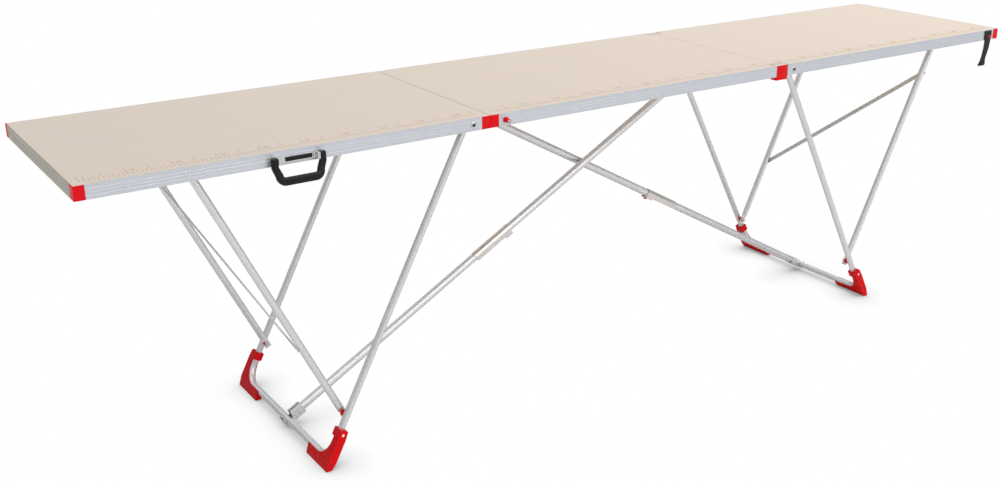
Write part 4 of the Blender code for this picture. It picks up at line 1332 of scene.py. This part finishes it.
@dataclass
class RailFasteners:
    """Bolts of the leg pivots on the rails, and the ring and the collar of the closing stud."""

    paint: Paint

    def bolt_pair(self, word: str, pivot: np.ndarray) -> None:
        """Washer and dark bolt of one leg pivot on the front and rear rails."""
        for end_word, end in ENDS.items():
            low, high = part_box(f"{word}_{end_word}_rail")
            face = low.y if end < 0 else high.y
            place = np.array([pivot[0], face, pivot[2]])
            for part, kind in ((PIVOT_WASHER, "washer"), (PIVOT_BOLT, "bolt")):
                part.build(self.paint, f"{word}_{end_word}_pivot_{kind}", place, ACROSS * end, word + "_panel")

    def stud_end(self) -> None:
        """Bright ring on the end of the closing stud, and a red collar at its foot."""
        low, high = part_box("closure_stud")
        centre = np.array([(low.x + high.x) / 2, low.y, (low.z + high.z) / 2])
        STUD_RING.build(self.paint, "stud_end_ring", centre, FRONT, "middle_panel")
        place = np.array([centre[0], high.y, centre[2]])
        STUD_COLLAR.build(self.paint, "stud_collar", place, FRONT, "middle_panel")

    def build(self, pivots: dict[str, np.ndarray]) -> None:
        """Build the bolts and the stud's end."""
        for word, pivot in pivots.items():
            self.bolt_pair(word, pivot)
        self.stud_end()


@dataclass
class Studio:
    """Pale floor, soft lamps and the camera that stands where the photograph was taken."""

    position: tuple[float, float, float] = (-2.03624, -2.72955, 1.59731)
    yaw: float = 34.344
    pitch: float = 20.469
    roll: float = 0.0903
    lens: float = 43.46
    sensor: float = 36.0
    shift: tuple[float, float] = (-0.03384, -0.002)
    floor_half: float = 20.0
    floor_drop: float = 0.0004
    # The floor's painted shadow: how far it reaches, how dark it gets at its darkest, its samples, and the occlusion
    # values that map to darkest and to full white.
    shadow_reach: float = 0.11
    shadow: float = 0.3
    shadow_samples: int = 12
    covered: float = 0.3
    open: float = 0.97
    white: str = "#FFFFFF"
    horizon: str = "#77787C"
    horizon_end: float = 0.6
    surroundings: float = 0.42
    lamps: tuple = (("overhead", (0.15, -0.3, 1.0), 70, 1.6), ("front", (0.45, -1.0, 0.45), 60, 0.8))

    def camera(self) -> None:
        """Place the camera."""
        data = bpy.data.cameras.new("camera")
        data.lens = self.lens
        data.sensor_width = self.sensor
        data.sensor_fit = "HORIZONTAL"
        data.shift_x, data.shift_y = self.shift
        holder = bpy.data.objects.new("camera", data)
        holder.location = self.position
        holder.rotation_euler = (math.radians(90 - self.pitch), math.radians(self.roll), math.radians(-self.yaw))
        bpy.context.scene.collection.objects.link(holder)
        bpy.context.scene.camera = holder

    def lamp(self, name: str, toward: tuple[float, float, float], spread: float, strength: float) -> None:
        """One distant soft lamp that stands in the given direction and is spread degrees wide."""
        data = bpy.data.lights.new(name, "SUN")
        data.angle = math.radians(spread)
        data.energy = strength
        holder = bpy.data.objects.new(name, data)
        holder.rotation_euler = Vector(toward).to_track_quat("Z", "Y").to_euler()
        bpy.context.scene.collection.objects.link(holder)

    def world(self) -> None:
        """Even surroundings: white to the camera, and shaded from the floor up in reflections."""
        world = bpy.data.worlds.new("studio")
        bpy.context.scene.world = world
        tree = empty_tree(world)
        rays = add_node(tree, "ShaderNodeLightPath")
        around = add_node(tree, "ShaderNodeTexCoord").outputs["Generated"]
        height = add_node(tree, "ShaderNodeSeparateXYZ", {"Vector": around}).outputs["Z"]
        bands = add_node(tree, "ShaderNodeValToRGB", {"Fac": height})
        low, high = bands.color_ramp.elements
        low.color = linear(self.horizon)
        high.position = self.horizon_end
        high.color = linear(self.white)
        soft, mirrored, clear = (
            add_node(tree, "ShaderNodeBackground", {"Color": colour, "Strength": strength}).outputs[0]
            for colour, strength in ((linear(self.white), self.surroundings), (bands.outputs["Color"], 1.0),
                                     (linear(self.white), 1.0)))
        gloss = mix_shaders(tree, rays.outputs["Is Glossy Ray"], soft, mirrored)
        seen = mix_shaders(tree, rays.outputs["Is Camera Ray"], gloss, clear)
        add_node(tree, "ShaderNodeOutputWorld", {"Surface": seen})

    def floor(self) -> None:
        """Large pale floor: white, with a short soft painted shadow where something stands on it. Camera rays see a
        glow whose strength an occlusion test lowers near the parts; other rays see a plain diffuse floor.
        """
        material = bpy.data.materials.new("pale_floor")
        tree = empty_tree(material)
        rays = add_node(tree, "ShaderNodeLightPath")
        ground = add_node(tree, "ShaderNodeBsdfDiffuse", {"Color": linear("#F6F6F6")})
        near = add_node(tree, "ShaderNodeAmbientOcclusion", {"Distance": self.shadow_reach},
                        samples=self.shadow_samples)
        # Painted shadow: the glow seen by the camera is dimmed where the occlusion test finds parts close by.
        spread = {"Value": near.outputs["AO"], "From Min": self.covered, "From Max": self.open,
                  "To Min": self.shadow, "To Max": 1.0}
        bright = add_node(tree, "ShaderNodeMapRange", spread).outputs["Result"]
        glow_with_painted_shadow = add_node(tree, "ShaderNodeEmission", {"Color": linear(self.white), "Strength": bright})
        seen = mix_shaders(tree, rays.outputs["Is Camera Ray"], ground.outputs[0], glow_with_painted_shadow.outputs[0])
        add_node(tree, "ShaderNodeOutputMaterial", {"Surface": seen})
        reach = self.floor_half
        points = np.hstack([rectangle(-reach, reach, -reach, reach), np.full((4, 1), -self.floor_drop)])
        plane = make_piece("studio_floor", Surface(points, [(0, 1, 2, 3)], points))
        plane.data.materials.append(material)

    def build(self) -> None:
        """Set up the camera, the lamps, the surroundings and the floor."""
        self.camera()
        self.world()
        self.floor()
        for name, toward, spread, strength in self.lamps:
            self.lamp(name, toward, spread, strength)
        bpy.context.scene.view_settings.view_transform = "Standard"


def main() -> None:
    """Build the looks in order and report each piece."""
    logging.basicConfig(level=logging.INFO, format="%(message)s")
    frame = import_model()
    paint = Paint()
    FramePaint(paint).build(frame)
    RoundedParts(paint).build(frame)
    BoardEdges(paint).build()
    PrintedScale(paint).build()
    pivots = {}
    for word, side in SIDES.items():
        pivot = joint_place(frame, word + "_leg_fold")
        pivots[word] = pivot
        leg = LegFrame(paint, word, side, pivot)
        leg.build()
        rod_low, rod_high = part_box(word + "_strut_rod")
        rod = np.array((rod_low + rod_high) / 2)
        StrutSkins(paint, word, leg.point(leg.length - leg.stud_rise), rod).build()
        top = joint_place(frame, word + "_brace_swing")
        offset = np.array([0, side * BRACE_OFFSET, 0])
        BraceSkins(paint, word, side, leg.point(leg.crossbar_u) + offset, top + offset).build()
    CarryHandle(paint, joint_place(frame, "handle_swing")).build()
    ClosureStrap(paint).build()
    RailFasteners(paint).build(pivots)
    Studio().build()


if __name__ == "__main__":
    main()
